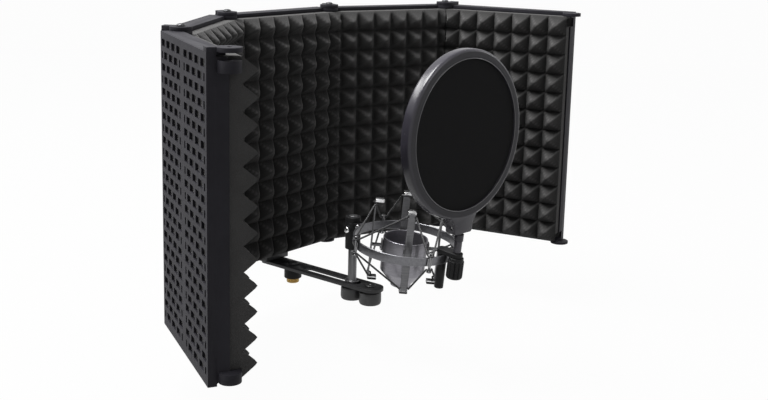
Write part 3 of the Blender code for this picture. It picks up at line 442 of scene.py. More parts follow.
def crossedBands(tree, uvName, scale, directions, operation):
    # two sets of bands over the piece's own UV map; each direction is (bands, slope)
    uv = addNode(tree, "ShaderNodeUVMap", uv_map=uvName).outputs["UV"]
    bands = []
    for direction, slope in directions:
        mapping = addNode(tree, "ShaderNodeMapping", {"Vector": uv, "Scale": (1.0, slope, 1.0)})
        wave = addNode(tree, "ShaderNodeTexWave", {"Vector": mapping.outputs["Vector"], "Scale": scale},
                       bands_direction=direction)
        bands.append(wave.outputs["Fac"])
    return maths(tree, operation, *bands)


def wovenMesh():
    # fine two-way weave
    look = weaveLook
    mat, tree, shader = newMaterial("filterWeave", (0.011, 0.011, 0.0115), 1.0, 0.0, 0.05)
    cross = crossedBands(tree, "weave", look["threads"], (("X", 1.0), ("Y", 1.0)), "MAXIMUM")
    feed(tree, shader, {"Base Color": rampNode(tree, cross, (0.35, look["dark"]), (0.95, look["light"])),
                        "Normal": bumpNode(tree, cross, 0.35, look["depth"])})
    return mat


def braidMaterial():
    # braided elastic sleeve: crossing bands along and round the cord
    look = braidLook
    mat, tree, shader = newMaterial("elasticBraid", (0.03, 0.03, 0.03), 0.8, 0.0, 0.25)
    cross = crossedBands(tree, "braid", look["bands"], (("DIAGONAL", 1.0), ("DIAGONAL", -1.0)), "MULTIPLY")
    feed(tree, shader, {"Base Color": rampNode(tree, cross, (0.1, look["dark"]), (0.7, look["light"])),
                        "Normal": bumpNode(tree, cross, 0.6, look["depth"])})
    return mat


# each plastic: dark and light tone, lowest and highest roughness, grain, specular
plastics = {
    "panelPlastic": ((0.0095, 0.009, 0.0118), (0.0145, 0.0138, 0.0178), 0.52, 0.66, 0.25, 0.13),
    "knobPlastic": ((0.0085, 0.0085, 0.009), (0.014, 0.014, 0.0145), 0.46, 0.6, 0.3, 0.16),
    "hoopPlastic": ((0.023, 0.0217, 0.028), (0.033, 0.0311, 0.04), 0.22, 0.3, 0.05, 0.34),
    # the pale bead plastic is a painted highlight along the mesh lip
    "highlightBeadPlastic": ((0.06, 0.059, 0.064), (0.085, 0.083, 0.09), 0.2, 0.3, 0.1, 0.5),
    "nutPlastic": ((0.043, 0.043, 0.044), (0.06, 0.06, 0.061), 0.42, 0.55, 0.3, 0.4),
}
# each metal: dark and light tone, lowest and highest roughness, metallic, stretch of the grain
metals = {
    "barCoat": ((0.012, 0.012, 0.013), (0.022, 0.022, 0.023), 0.38, 0.5, 0.3),
    "ringCoat": ((0.13, 0.13, 0.14), (0.19, 0.19, 0.2), 0.3, 0.42, 0.9),
    "strapSteel": ((0.1, 0.1, 0.105), (0.16, 0.16, 0.165), 0.32, 0.46, 0.9, (0.2, 0.2, 3.0)),
    "postSteel": ((0.11, 0.11, 0.113), (0.165, 0.165, 0.168), 0.32, 0.45, 0.9, (3.0, 3.0, 0.2)),
    "cupMetal": ((0.2, 0.195, 0.215), (0.27, 0.265, 0.285), 0.3, 0.42, 0.9, (0.25, 0.25, 3.0)),
    "brightSteel": ((0.62, 0.62, 0.63), (0.8, 0.8, 0.8), 0.16, 0.28, 1.0),
    "darkScrew": ((0.03, 0.03, 0.032), (0.055, 0.055, 0.057), 0.26, 0.4, 0.9),
    "greySteel": ((0.16, 0.16, 0.165), (0.26, 0.26, 0.265), 0.24, 0.36, 1.0),
    "filterPostCoat": ((0.045, 0.043, 0.05), (0.07, 0.067, 0.075), 0.3, 0.42, 0.5),
    "turnedBrass": ((0.5, 0.4, 0.23), (0.68, 0.56, 0.34), 0.2, 0.34, 1.0, (0.3, 0.3, 4.0)),
}
finish = {name: mouldedPlastic(name, *look) for name, look in plastics.items()}
finish.update({name: coatedMetal(name, *look) for name, look in metals.items()})
# the hoop's flat faces get a rougher finish and painted shade that darkens their colour
hoopMattShade = {"paintedShadeLeft": 0.35, "roughRise": 0.42}
mattShadeMarked(finish["hoopPlastic"], **hoopMattShade)
foamFinish = foamMaterial()
weaveFinish = wovenMesh()
braidFinish = braidMaterial()
print("finishes mixed")

# camera and light; focal length and centre are in pixels of the image
view = {"place": (-1.0184, -0.9587, 0.4673), "yaw": 51.41, "pitch": 11.04, "roll": 1.44, "focal": 1139.7,
        "centre": (385.8, 133.7), "image": (768, 400), "sensor": 36, "farthest": 50}
lightRig = [
    {"name": "topSoft", "place": (-0.5, 0.4, 2.2), "aim": (0, -0.02, 0.2), "size": (1.3, 1.0), "power": 108},
    {"name": "rearSoft", "place": (-0.7, 1.7, 2.1), "aim": (0, -0.1, 0.2), "size": (1.5, 0.5), "power": 40},
    {"name": "leftLow", "place": (-2.1, 0.6, 0.62), "aim": (-0.2, -0.05, 0.2), "size": (0.9, 0.5), "power": 13},
    {"name": "frontFill", "place": (0.2, -2.4, 1.9), "aim": (0, 0, 0.2), "size": (1.4, 1.0), "power": 13},
    {"name": "rightStrip", "place": (1.8, -1.1, 0.7), "aim": (0, -0.18, 0.1), "size": (0.25, 0.9), "power": 3},
]
skyLight = 0.14
floorSpec = {"height": -0.05, "reach": 6.0, "white": 0.28, "backdrop": 0.97}
wallSpec = {"away": 2.6, "half": 3.4, "top": 2.4}


def makeCamera():
    yaw, pitch, roll = (math.radians(view[k]) for k in ("yaw", "pitch", "roll"))
    ahead = Vector((math.sin(yaw) * math.cos(pitch), math.cos(yaw) * math.cos(pitch), -math.sin(pitch)))
    side = Vector((math.cos(yaw), -math.sin(yaw), 0))
    up = side.cross(ahead)
    right = side * math.cos(roll) + up * math.sin(roll)
    upright = up * math.cos(roll) - side * math.sin(roll)
    lens = bpy.data.cameras.new("photoCamera")
    width, height = view["image"]
    lens.sensor_fit = "HORIZONTAL"
    lens.sensor_width = view["sensor"]
    lens.lens = view["sensor"] * view["focal"] / width
    lens.shift_x = (width / 2 - view["centre"][0]) / width
    lens.shift_y = (view["centre"][1] - height / 2) / width
    lens.clip_end = view["farthest"]
    eye = linked("photoCamera", lens)
    eye.matrix_world = shift(*view["place"]) @ Matrix((right, upright, -ahead)).transposed().to_4x4()
    bpy.context.scene.camera = eye


def whiteRays(tree):
    # 1 for the rays that meet the background straight on, in a shiny surface or through a clear one
    rays = addNode(tree, "ShaderNodeLightPath").outputs
    shiny = maths(tree, "MAXIMUM", rays["Is Camera Ray"], rays["Is Glossy Ray"])
    return maths(tree, "MAXIMUM", shiny, rays["Is Transmission Ray"])


def mixedSurface(tree, share, first, second, output):
    mix = addNode(tree, "ShaderNodeMixShader", {0: share, 1: first.outputs[0], 2: second.outputs[0]})
    feed(tree, tree.nodes[output], {"Surface": mix.outputs[0]})


def makeLights():
    for spec in lightRig:
        lamp = bpy.data.lights.new(spec["name"], "AREA")
        lamp.shape = "RECTANGLE"
        lamp.size, lamp.size_y = spec["size"]
        lamp.energy = spec["power"]
        obj = linked(spec["name"], lamp)
        obj.location = spec["place"]
        aim = Vector(spec["aim"]) - Vector(spec["place"])
        obj.rotation_euler = aim.to_track_quat("-Z", "Y").to_euler()
    world = bpy.data.worlds.new("studio")
    world.use_nodes = True
    tree = world.node_tree
    dim = tree.nodes["Background"]
    feed(tree, dim, {"Color": (1, 1, 1, 1), "Strength": skyLight})
    seen = addNode(tree, "ShaderNodeBackground", {"Color": (1, 1, 1, 1), "Strength": 1.0})
    mixedSurface(tree, whiteRays(tree), dim, seen, "World Output")
    bpy.context.scene.world = world


def makeFloor():
    # pale floor and a pale wall behind the object, white where the camera looks
    half, z = floorSpec["reach"], floorSpec["height"]
    yaw = math.radians(view["yaw"])
    foot = Vector((math.sin(yaw), math.cos(yaw), 0)) * wallSpec["away"] + Vector((0, 0, z))
    along = Vector((math.cos(yaw), -math.sin(yaw), 0)) * wallSpec["half"]
    rise = Vector((0, 0, wallSpec["top"]))
    wall = [foot - along, foot + along, foot + along + rise, foot - along + rise]
    flat = [(-half, -half, z), (half, -half, z), (half, half, z), (-half, half, z)]
    mesh = bpy.data.meshes.new("studioFloor")
    mesh.from_pydata(flat + wall, [], [(0, 1, 2, 3), (4, 5, 6, 7)])
    mat, tree, shader = newMaterial("paleFloor", (floorSpec["white"],) * 3, 0.9, 0.0, 0.1)
    glow = addNode(tree, "ShaderNodeEmission", {"Strength": 1.0})
    share = maths(tree, "MULTIPLY", whiteRays(tree), floorSpec["backdrop"])
    mixedSurface(tree, share, shader, glow, "Material Output")
    mesh.materials.append(mat)
    linked("studioFloor", mesh)


bpy.context.scene.view_settings.view_transform = "Standard"
makeCamera()
makeLights()
makeFloor()
print("camera, light and floor set")

# panels; the origin of a panel is its left hinge line, at the foot and on the foam's side
panel = sizes(height=312, pitch=180, depth=21, edge=0.6, side=1.6, end=4.4, back=2.4, base=31, gap=0.3,
              earRadius=11.7, earRaised=4.2, earFlush=4.0, earLower=3.0, earClear=0.5, bossRadius=11, bossDrop=7.5,
              bossHeight=11, lowBossBase=3.5, lowBossTop=13.5, screwHole=2.3, holeFloor=1.5, round=0.7,
              overlap=0.1, over=1)
holeSides = 24
perforation = {"rows": 24, "perField": 4, "cornerSteps": 2,
               **sizes(pitchX=21, pitchZ=12.5, width=15.4, height=7.8, fieldEnd=14, strip=14, corner=1.0, lift=1.4,
                       least=2, weld=0.001)}
folds = {"ab": 30.8, "bc": 31.6, "cd": 20.5, "de": 56.4}


def perforatedSheetTree():
    # points with an opening size each -> one flat sheet with that many rounded openings, given thickness
    tree, take = newTree("perforatedSheet", {
        "Openings": "Geometry", "Sheet Width": "Float", "Sheet Height": "Float", "Thickness": "Float",
        "Corner Radius": "Float", "Finish": "Material"}, "Sheet")
    quad, join = "GeometryNodeCurvePrimitiveQuadrilateral", "GeometryNodeJoinGeometry"
    outer = addNode(tree, quad, {"Width": take["Sheet Width"], "Height": take["Sheet Height"]})
    unit = addNode(tree, quad, {"Width": 1.0, "Height": 1.0})
    size = addNode(tree, "GeometryNodeInputNamedAttribute", {"Name": "opening"}, data_type="FLOAT_VECTOR")
    spread = addNode(tree, "GeometryNodeInstanceOnPoints", {
        "Points": take["Openings"], "Instance": unit.outputs["Curve"], "Scale": size.outputs["Attribute"]})
    real = addNode(tree, "GeometryNodeRealizeInstances", {"Geometry": spread.outputs["Instances"]})
    soften = addNode(tree, "GeometryNodeFilletCurve", {
        "Curve": real.outputs["Geometry"], "Radius": take["Corner Radius"], "Limit Radius": True,
        "Count": perforation["cornerSteps"]}, mode="POLY")
    together = addNode(tree, join, {"Geometry": [outer.outputs["Curve"], soften.outputs["Curve"]]})
    fill = addNode(tree, "GeometryNodeFillCurve", {"Curve": together.outputs["Geometry"]})
    lift = addNode(tree, "GeometryNodeExtrudeMesh", {
        "Mesh": fill.outputs["Mesh"], "Offset Scale": take["Thickness"], "Individual": False}, mode="FACES")
    flip = addNode(tree, "GeometryNodeFlipFaces", {"Mesh": fill.outputs["Mesh"]})
    close = addNode(tree, join, {"Geometry": [lift.outputs["Mesh"], flip.outputs["Mesh"]]})
    sewn = addNode(tree, "GeometryNodeMergeByDistance", {
        "Geometry": close.outputs["Geometry"], "Distance": perforation["weld"]})
    return endTree(tree, sewn.outputs["Geometry"], take["Finish"])


def perforatedBack():
    rule = perforation
    field = rule["pitchX"] * (rule["perField"] - 1) + rule["fieldEnd"]
    points, openings = [], []
    for row in range(rule["rows"]):
        z = (row - (rule["rows"] - 1) / 2) * rule["pitchZ"] + rule["lift"]
        stagger = (rule["rows"] - 1 - row) % 2
        for left in (-rule["strip"] / 2 - field, rule["strip"] / 2):
            start = left + rule["fieldEnd"] / 2 - stagger * rule["pitchX"] / 2
            for column in range(rule["perField"] + stagger):
                low = max(left, start + column * rule["pitchX"] - rule["width"] / 2)
                high = min(left + field, start + column * rule["pitchX"] + rule["width"] / 2)
                if high - low > rule["least"]:
                    points.append(((low + high) / 2, z, 0))
                    openings += (high - low, rule["height"], 1)
    mesh = bpy.data.meshes.new("openings")
    mesh.from_pydata(points, [], [])
    mesh.attributes.new("opening", "FLOAT_VECTOR", "POINT").data.foreach_set("vector", openings)
    sheet = useTree(holder(mesh), perforatedSheetTree(), {
        "Sheet Width": panel["pitch"] - 2 * panel["edge"], "Sheet Height": panel["height"],
        "Thickness": panel["back"], "Corner Radius": rule["corner"], "Finish": finish["panelPlastic"]})
    # stand the sheet up as the back wall, outer face on the outside of the panel
    return moved(sheet, shift(panel["pitch"] / 2, panel["depth"], panel["height"] / 2) @ turnX(90))


def panelFrame():
    p = panel
    top, far, over, gap = p["height"], p["pitch"], p["over"], p["gap"]
    pocket, notch = p["earRadius"] + p["earClear"], p["bossRadius"] + p["earClear"]
    bossTop = top - p["bossDrop"]
    bossBase = bossTop - p["bossHeight"]
    lowBase, lowTop = p["lowBossBase"], p["lowBossTop"]
    inner = p["depth"] - p["back"] + p["overlap"]
    wall = p["edge"] + p["side"]
    earTop = top + p["earRaised"]
    shell = combine(boxShape((p["edge"], 0, 0), (far - p["edge"], inner, top)), "DIFFERENCE", [
        boxShape((wall, -over, p["end"]), (far - wall, inner + over, top - p["end"]))])
    # room for the neighbour's ears and bosses
    shell = combine(shell, "DIFFERENCE", [
        rodShape(pocket, top - p["earFlush"] - 2 * gap, top + over),
        rodShape(pocket, -over, p["earLower"] + gap),
        rodShape(notch, bossBase - gap, bossTop + gap, x=far),
        rodShape(notch, lowBase - gap, lowTop + gap, x=far)])
    # the panel's own ears and bosses
    shell = combine(shell, "UNION", [
        rodShape(p["earRadius"], top, earTop),
        boxShape((p["edge"], 0, top), (p["earRadius"], p["depth"] - gap, earTop)),
        rodShape(p["bossRadius"], bossBase, bossTop),
        rodShape(p["bossRadius"], lowBase, lowTop),
        rodShape(p["earRadius"], top - p["earFlush"] - gap, top - gap, x=far),
        rodShape(p["earRadius"], 0, p["earLower"], x=far)])
    bores = [(bossBase + p["holeFloor"], earTop + over, 0.0), (-over, lowTop - p["holeFloor"], 0.0),
             (top - 2 * p["end"], top + over, far), (-over, p["earLower"] + over, far)]
    shell = combine(shell, "DIFFERENCE", [
        rodShape(pocket, top - gap, top + over, x=far),
        *[rodShape(p["screwHole"], low, high, x=x, sides=holeSides) for low, high, x in bores]])
    return softenEdges(shell, p["round"])


pivots = {k: jointPlace["hinge_" + k] for k in folds}
toSecond = shift(-panel["pitch"], 0, 0)
placeOf = {"a": shift(*pivots["ab"]) @ turnZ(folds["bc"] + folds["ab"]) @ toSecond,
           "b": shift(*pivots["bc"]) @ turnZ(folds["bc"]) @ toSecond,
           "c": shift(*pivots["bc"]),
           "d": shift(*pivots["cd"]) @ turnZ(-folds["cd"]),
           "e": shift(*pivots["de"]) @ turnZ(-folds["cd"] - folds["de"])}
bodyOf = {"a": "panel_a_body", "b": "panel_b_body", "c": "shield_middle", "d": "panel_d_body", "e": "panel_e_body"}

trayMesh = joined([panelFrame(), perforatedBack()])
for letter, spot in placeOf.items():
    place("tray_" + letter, moved(trayMesh.copy(), spot), finish["panelPlastic"], bodyOf[letter],
          ["panel_" + letter])
print("panels made")

# foam; painted light and sawn tone: painted shade in the valley, painted highlight added at the tip, painted
# highlight added on a ridge, tone of the sawn sides
foam = {"columns": 7, "rows": 12, "cut": 10, "blunt": 0.07, "valleyRound": 0.03, "tipRound": 0.11, "ridgeSharp": 5.0,
        "swayScale": 30, "seed": 17, "valleyShade": 0.34, "tip": 0.82, "edge": 0.9, "sawn": 1.32, "unmarked": 0.05,
        "fill": 0.9, "smooth": 50,
        **sizes(base=12.2, pyramid=16.1, inset=2.5, lift=4.7, rear=18.3, unevenness=0.5, calm=4, bossClear=1.5,
                mitreStart=0.05, over=1, beyond=2)}
# each hinge edge: the slant at which the pads meet, the slant behind the soft lip, what folding leaves of the lip
mitres = {"ab": {"meet": 0.2765, "lip": 0.68, "keep": 0.1}, "bc": {"meet": 0.284, "lip": 0.7, "keep": 0.06},
          "cd": {"meet": 0.182, "lip": 0.45, "keep": 0.15}, "de": {"meet": 0.579, "lip": None, "keep": 1.0}}
# how far into a pyramid each pad's sheet was cut at its left edge
foamShift = {"a": 0.5, "b": 0.5, "c": 0.5, "d": 0.65, "e": 0.0}
foamEdges = {"a": (None, "ab"), "b": ("ab", "bc"), "c": ("bc", "cd"), "d": ("cd", "de"), "e": ("de", None)}


def pyramidFaceTree():
    # a grid whose height follows a blunt square pyramid in each cell
    tree, take = newTree("pyramidFace", {
        "Width": "Float", "Height": "Float", "Pyramid": "Float", "Bluntness": "Float", "Shift": "Float",
        "Columns": "Int", "Rows": "Int", "Cuts": "Int", "Finish": "Material"}, "Face")

    def calc(operation, *values):
        return maths(tree, operation, *values)

    def points(cells):
        return calc("ADD", calc("MULTIPLY", take[cells], take["Cuts"]), 1)

    grid = addNode(tree, "GeometryNodeMeshGrid", {
        "Size X": take["Width"], "Size Y": take["Height"],
        "Vertices X": points("Columns"), "Vertices Y": points("Rows")})
    position = addNode(tree, "GeometryNodeInputPosition").outputs[0]
    split = addNode(tree, "ShaderNodeSeparateXYZ", {0: position})
    slopes = []
    for axis, size, count in (("X", "Width", "Columns"), ("Y", "Height", "Rows")):
        cell = calc("DIVIDE", take[size], take[count])
        along = calc("DIVIDE", calc("ADD", split.outputs[axis], calc("MULTIPLY", take[size], 0.5)), cell)
        if axis == "X":
            along = calc("ADD", along, take["Shift"])
        slopes.append(calc("MULTIPLY", calc("PINGPONG", along, 0.5), 2.0))
    low = calc("SMOOTH_MIN", *slopes, foam["valleyRound"])
    rise = calc("SMOOTH_MIN", low, calc("SUBTRACT", 1.0, take["Bluntness"]), foam["tipRound"])
    lift = addNode(tree, "ShaderNodeCombineXYZ", {"Z": calc("MULTIPLY", rise, take["Pyramid"])})
    push = addNode(tree, "GeometryNodeSetPosition", {"Geometry": grid.outputs["Mesh"], "Offset": lift.outputs[0]})
    # how high each spot stands, and how near it is to one of the four cut ridges
    apart = calc("MULTIPLY", calc("ABSOLUTE", calc("SUBTRACT", *slopes)), foam["ridgeSharp"])
    ridge = calc("MAXIMUM", calc("SUBTRACT", 1.0, apart), 0.0)
    shape = push.outputs["Geometry"]
    for name, value in (("rise", rise), ("ridge", ridge)):
        note = addNode(tree, "GeometryNodeStoreNamedAttribute", {"Geometry": shape, "Name": name, "Value": value})
        shape = note.outputs["Geometry"]
    return endTree(tree, shape, take["Finish"])


foamTree = pyramidFaceTree()


def slants(letter):
    return [(hinge, fromLeft) for hinge, fromLeft in zip(foamEdges[letter], (True, False)) if hinge]


def slantWedge(hinge, fromLeft, kind):
    f = foam
    deep = f["base"] + f["pyramid"] + f["beyond"]
    start, slope = f["mitreStart"], mitres[hinge][kind]
    wedge = [(start, 0), (-f["beyond"], 0), (-f["beyond"], -deep), (start + slope * deep, -deep)]
    if not fromLeft:
        wedge = [(panel["pitch"] - x, y) for x, y in wedge]
    return plateShape(wedge, -f["over"], panel["height"] + f["over"])


def shadePaintedBlock(letter):
    # one pyramid face with its sawn sides and back, and its painted shade, painted highlights and sawn tone marked
    # on every corner
    f, p = foam, panel
    left, right = f["inset"], p["pitch"] - f["inset"]
    low, high = f["lift"], p["height"] - f["lift"]
    mesh = useTree(holder(bpy.data.meshes.new("pad")), foamTree, {
        "Width": right - left, "Height": high - low, "Pyramid": f["pyramid"], "Bluntness": f["blunt"],
        "Shift": foamShift[letter], "Columns": f["columns"], "Rows": f["rows"], "Cuts": f["cut"],
        "Finish": foamFinish})
    # stand it up facing the singer, then draw its border back into the tray
    moved(mesh, shift((left + right) / 2, -f["base"], (low + high) / 2) @ turnX(90))
    bm = bmesh.new()
    bm.from_mesh(mesh)
    seed = f["seed"] * (1 + "abcde".index(letter))
    for v in bm.verts:
        spot = Vector((v.co.x * f["swayScale"] + seed, v.co.z * f["swayScale"], 0))
        edge = min(v.co.x - left, right - v.co.x, v.co.z - low, high - v.co.z)
        v.co += noise.noise_vector(spot) * f["unevenness"] * min(1.0, max(0.0, edge / f["calm"]))
    rise, ridge = (bm.verts.layers.float[name] for name in ("rise", "ridge"))
    paintedLightAndSawnTone = bm.loops.layers.float.new("paintedLightAndSawnTone")
    # valleys get painted shade, tips and ridges get painted highlights
    for loop in (loop for face in bm.faces for loop in face.loops):
        loop[paintedLightAndSawnTone] = (f["valleyShade"] + f["tip"] * loop.vert[rise]) * (1 + f["edge"] * loop.vert[ridge])
    pyramids = set(bm.faces)
    border = [e for e in bm.edges if e.is_boundary]
    for depth in (-f["base"] / 2, 0.0, f["rear"]):
        grown = bmesh.ops.extrude_edge_only(bm, edges=border)["geom"]
        for v in (part for part in grown if isinstance(part, bmesh.types.BMVert)):
            v.co.y = depth
        border = [part for part in grown if isinstance(part, bmesh.types.BMEdge)]
    bmesh.ops.contextual_create(bm, geom=border)
    for loop in (loop for face in bm.faces if face not in pyramids for loop in face.loops):
        loop[paintedLightAndSawnTone] = f["sawn"]
    bmesh.ops.recalc_face_normals(bm, faces=bm.faces)
    bm.to_mesh(mesh)
    bm.free()
    return mesh


def foamPad(letter):
    f, p = foam, panel
    # hinge edges are cut on a slant so that the pads close up in the corners
    tools = [slantWedge(*edge, "meet") for edge in slants(letter)]
    # hollows that clear the hinge bosses
    notch = p["bossRadius"] + f["bossClear"]
    bossTop = p["height"] - p["bossDrop"]
    for x in (0.0, p["pitch"]):
        tools.append(rodShape(notch, bossTop - p["bossHeight"] - p["gap"], bossTop + p["gap"], x=x))
        tools.append(rodShape(notch, -f["over"], p["lowBossTop"] + p["gap"], x=x))
    pad = bakeMesh(combine(holder(shadePaintedBlock(letter)), "DIFFERENCE", tools))
    # the lips at the corners are cut off as soft pieces of their own
    lips = {}
    lipEdges = [edge for edge in slants(letter) if mitres[edge[0]]["lip"]]
    for edge in lipEdges:
        lips[edge] = bakeMesh(combine(holder(pad.copy()), "INTERSECT", [slantWedge(*edge, "lip")]))
    if lipEdges:
        pad = bakeMesh(combine(holder(pad), "DIFFERENCE", [slantWedge(*edge, "lip") for edge in lipEdges]))
    # faces that the cutters left get the sawn tone too
    for cut in (pad, *lips.values()):
        for mark in cut.attributes["paintedLightAndSawnTone"].data:
            if mark.value < f["unmarked"]:
                mark.value = f["sawn"]
    return pad, lips


for letter, spot in placeOf.items():
    padMesh, lipMeshes = foamPad(letter)
    pad = place("pad_" + letter, moved(padMesh, spot), foamFinish, bodyOf[letter], ["foam_" + letter],
                foam["smooth"])
    for (hinge, fromLeft), lipMesh in lipMeshes.items():
        lip = place("padLip_%s_%s" % (letter, hinge), moved(lipMesh, spot), foamFinish, bodyOf[letter], [],
                    foam["smooth"])
        foot = Vector((foam["mitreStart"] if fromLeft else panel["pitch"] - foam["mitreStart"], 0.0, 0.0))
        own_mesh(lip)
print("foam cut")

# screws; cross = width, reach and depth of the driver's cross
screws = {"hinge": sizes(head=4.75, rise=2.6, shank=2.0, length=10, cross=(1.1, 5.4, 1.3)),
          "spacer": sizes(head=3.2, rise=1.8, shank=1.5, length=15, cross=(0.8, 3.6, 0.9)),
          "lock": sizes(head=3.6, rise=2.2, shank=2.2, length=3.6, cross=(0.9, 4.2, 1.0)),
          "pin": sizes(head=2.8, rise=1.6, shank=1.3, length=15, cross=(0.7, 3.2, 0.8)),
          "tilt": sizes(head=3.4, rise=2, shank=1.6, length=30, cross=(0.9, 4, 1.0))}
# a pan head's outline, as shares of its radius and of its height
domeShares = ((0, 1), (0.45, 0.97), (0.75, 0.82), (0.93, 0.55), (1, 0.3), (1, 0.05), (0.97, 0))
headSides = 28
screwTurns = {"above": 25, "aboveStep": 31, "belowStep": 40}


def panHead(head, rise, shank, length, cross):
    profile = [(head * across, rise * up) for across, up in domeShares]
    profile += [(shank, 0), (shank, -length), (0, -length)]
    width, reach, depth = cross
    tools = [boxShape((-x / 2, -y / 2, rise - depth), (x / 2, y / 2, rise + mm))
             for x, y in ((width, reach), (reach, width))]
    return bakeMesh(combine(holder(latheMesh(profile, headSides)), "DIFFERENCE", tools))


def scatterTree():
    # one part placed at every point, turned by the point's own angles
    tree, take = newTree("setScrews", {
        "Places": "Geometry", "Part": "Object", "Size": "Float", "Finish": "Material"}, "Set")
    one = addNode(tree, "GeometryNodeObjectInfo", {"Object": take["Part"]})
    angles = addNode(tree, "GeometryNodeInputNamedAttribute", {"Name": "angles"}, data_type="FLOAT_VECTOR")
    spread = addNode(tree, "GeometryNodeInstanceOnPoints", {
        "Points": take["Places"], "Instance": one.outputs["Geometry"], "Rotation": angles.outputs["Attribute"],
        "Scale": take["Size"]})
    return endTree(tree, spread.outputs["Instances"], take["Finish"])


screwTree = scatterTree()


def setAll(mesh, spots, material):
    mould = holder(mesh)
    points = bpy.data.meshes.new("places")
    points.from_pydata([spot.translation for spot in spots], [], [])
    turns = [angle for spot in spots for angle in spot.to_euler()]
    points.attributes.new("angles", "FLOAT_VECTOR", "POINT").data.foreach_set("vector", turns)
    made = useTree(holder(points), screwTree, {"Part": mould, "Size": 1.0, "Finish": material})
    bpy.data.objects.remove(mould, do_unlink=True)
    return made


hingeScrew = panHead(**screws["hinge"])
screwBody = {"ab": "panel_b_body", "bc": "shield_middle", "cd": "panel_d_body", "de": "panel_e_body"}
for index, (key, body) in enumerate(screwBody.items()):
    pivot, number = pivots[key], str(index + 1)
    earTop = panel["base"] + panel["height"] + panel["earRaised"] + panel["gap"]
    above = shift(pivot.x, pivot.y, earTop) @ turnZ(screwTurns["above"] + screwTurns["aboveStep"] * index)
    below = shift(pivot.x, pivot.y, panel["base"] - panel["gap"]) @ turnX(180)
    below = below @ turnZ(screwTurns["belowStep"] * index)
    pair = setAll(hingeScrew.copy(), [above, below], finish["darkScrew"])
    place("hingeScrews_" + number, pair, finish["darkScrew"], body,
          ["hinge_screw_top_" + number, "hinge_screw_low_" + number])
print("hinge screws set")

# bar, spacer, stand hub and nuts; heights are from the floor
bar = sizes(half=14, low=19, top=23, rear=44, tip=-144.5, slot=5.5, slotRear=-22, slotFront=-112, endBolt=-128,
            post=-99, corner=4, hole=3.3, gap=0.3, over=1, round=0.6)
hub = sizes(bore=3.3, outer=11, low=6, socket=8.2, socketDepth=7, round=1.0)
hubFlute = (22, 0.25 * mm, 10.9 * mm)
bush = {"turns": 11, "innerSteps": 16,
        **sizes(crest=7.9, root=7.45, threadTop=5.6, threadLength=5.0, innerCrest=4.6, innerRoot=5.0, innerStart=1.0,
                innerStep=0.72, top=[(4.9, 12.7), (7.9, 12.7)], foot=[(7.5, 0.0), (5.1, 0.0), (4.6, 0.5)])}
hubBolt = sizes(profile=[(0, 26.3), (6.2, 26.3), (7, 24.4), (7, 23.3), (3, 23.3), (3, 13.3), (0, 13.3)], round=0.7)
spacer = sizes(low=(-20, 27.5, 23.3), high=(20, 43.5, 30.7), round=0.9, screwX=8, screwY=35.5)
nut = sizes(top=18.7, low=1.7, bore=3.3, stud=2, seat=0.3, crown=10.4, shoulder=13.4, grip=13.6, foot=12.6,
            crownDrop=2.4, footRise=3, round=1.1)
nutFlute = (48, 0.12 * mm, 13.2 * mm)
endBolt = sizes(head=[(0, 25.3), (5.6, 25.3), (6.5, 24.2), (6.5, 23.3), (3, 23.3)], round=0.6,
                dot=[(0, 25.6), (1.0, 25.55), (1.5, 25.2), (1.5, 24.6), (0, 24.6)])
mountPost = sizes(upper=[(0, 106), (5.25, 106), (5.25, 25.3), (9, 25.3), (9, 23.3), (3, 23.3)], round=0.8)
studRadius = 3 * mm


def makeBar():
    b = bar
    corner, low, high = b["corner"], b["low"] - b["over"], b["top"] + b["over"]
    outline = arcPoints(0, b["tip"] + b["half"], b["half"], 180, 360, 40)
    outline += arcPoints(b["half"] - corner, b["rear"] - corner, corner, 0, 90, 8)
    outline += arcPoints(-b["half"] + corner, b["rear"] - corner, corner, 90, 180, 8)
    slotLine = arcPoints(0, b["slotFront"] + b["slot"], b["slot"], 180, 360, 20)
    slotLine += arcPoints(0, b["slotRear"] - b["slot"], b["slot"], 0, 180, 20)
    flat = combine(plateShape(outline, b["low"], b["top"]), "DIFFERENCE", [
        plateShape(slotLine, low, high),
        *[rodShape(b["hole"], low, high, y=y, sides=32) for y in (0.0, b["endBolt"])]])
    place("slottedBar", softenEdges(flat, b["round"], 3, 50), finish["barCoat"], "shield_middle", ["support_bar"])


def makeHub():
    b, h, t = bar, hub, bush
    top, floor = b["low"] - b["gap"], h["low"] + h["socketDepth"]
    shape = [(h["bore"], top), (h["outer"], top), (h["outer"], h["low"]), (h["socket"], h["low"]),
             (h["socket"], floor), (h["bore"], floor)]
    place("standHub", turned(shape, h["round"], 64, 3, True, hubFlute), finish["knobPlastic"], "shield_middle",
          ["stand_hub"])
    # brass bush: shallow thread turns outside and inside
    outside = []
    for i in range(t["turns"] * 2 + 1):
        outside.append((t["root"] if i % 2 else t["crest"],
                        t["threadTop"] - i * t["threadLength"] / (t["turns"] * 2)))
    inside = []
    for i in range(t["innerSteps"]):
        inside.append((t["innerRoot"] if i % 2 else t["innerCrest"], t["innerStart"] + i * t["innerStep"]))
    bushMesh = latheMesh(t["top"] + outside + t["foot"] + inside, 64, True)
    place("brassBush", bushMesh, finish["turnedBrass"], "shield_middle", ["stand_bush"])
    place("hubBolt", turned(hubBolt["profile"], hubBolt["round"], 48), finish["barCoat"], "shield_middle",
          ["hub_bolt"])
    place("barSpacer", softBox(spacer["low"], spacer["high"], spacer["round"], 3), finish["barCoat"],
          "shield_middle", ["bar_spacer"])
    spots = [shift(x, spacer["screwY"], top) @ turnX(180) for x in (-spacer["screwX"], spacer["screwX"])]
    place("spacerScrews", setAll(panHead(**screws["spacer"]), spots, finish["brightSteel"]), finish["brightSteel"],
          "shield_middle", ["spacer_screw_left", "spacer_screw_right"])


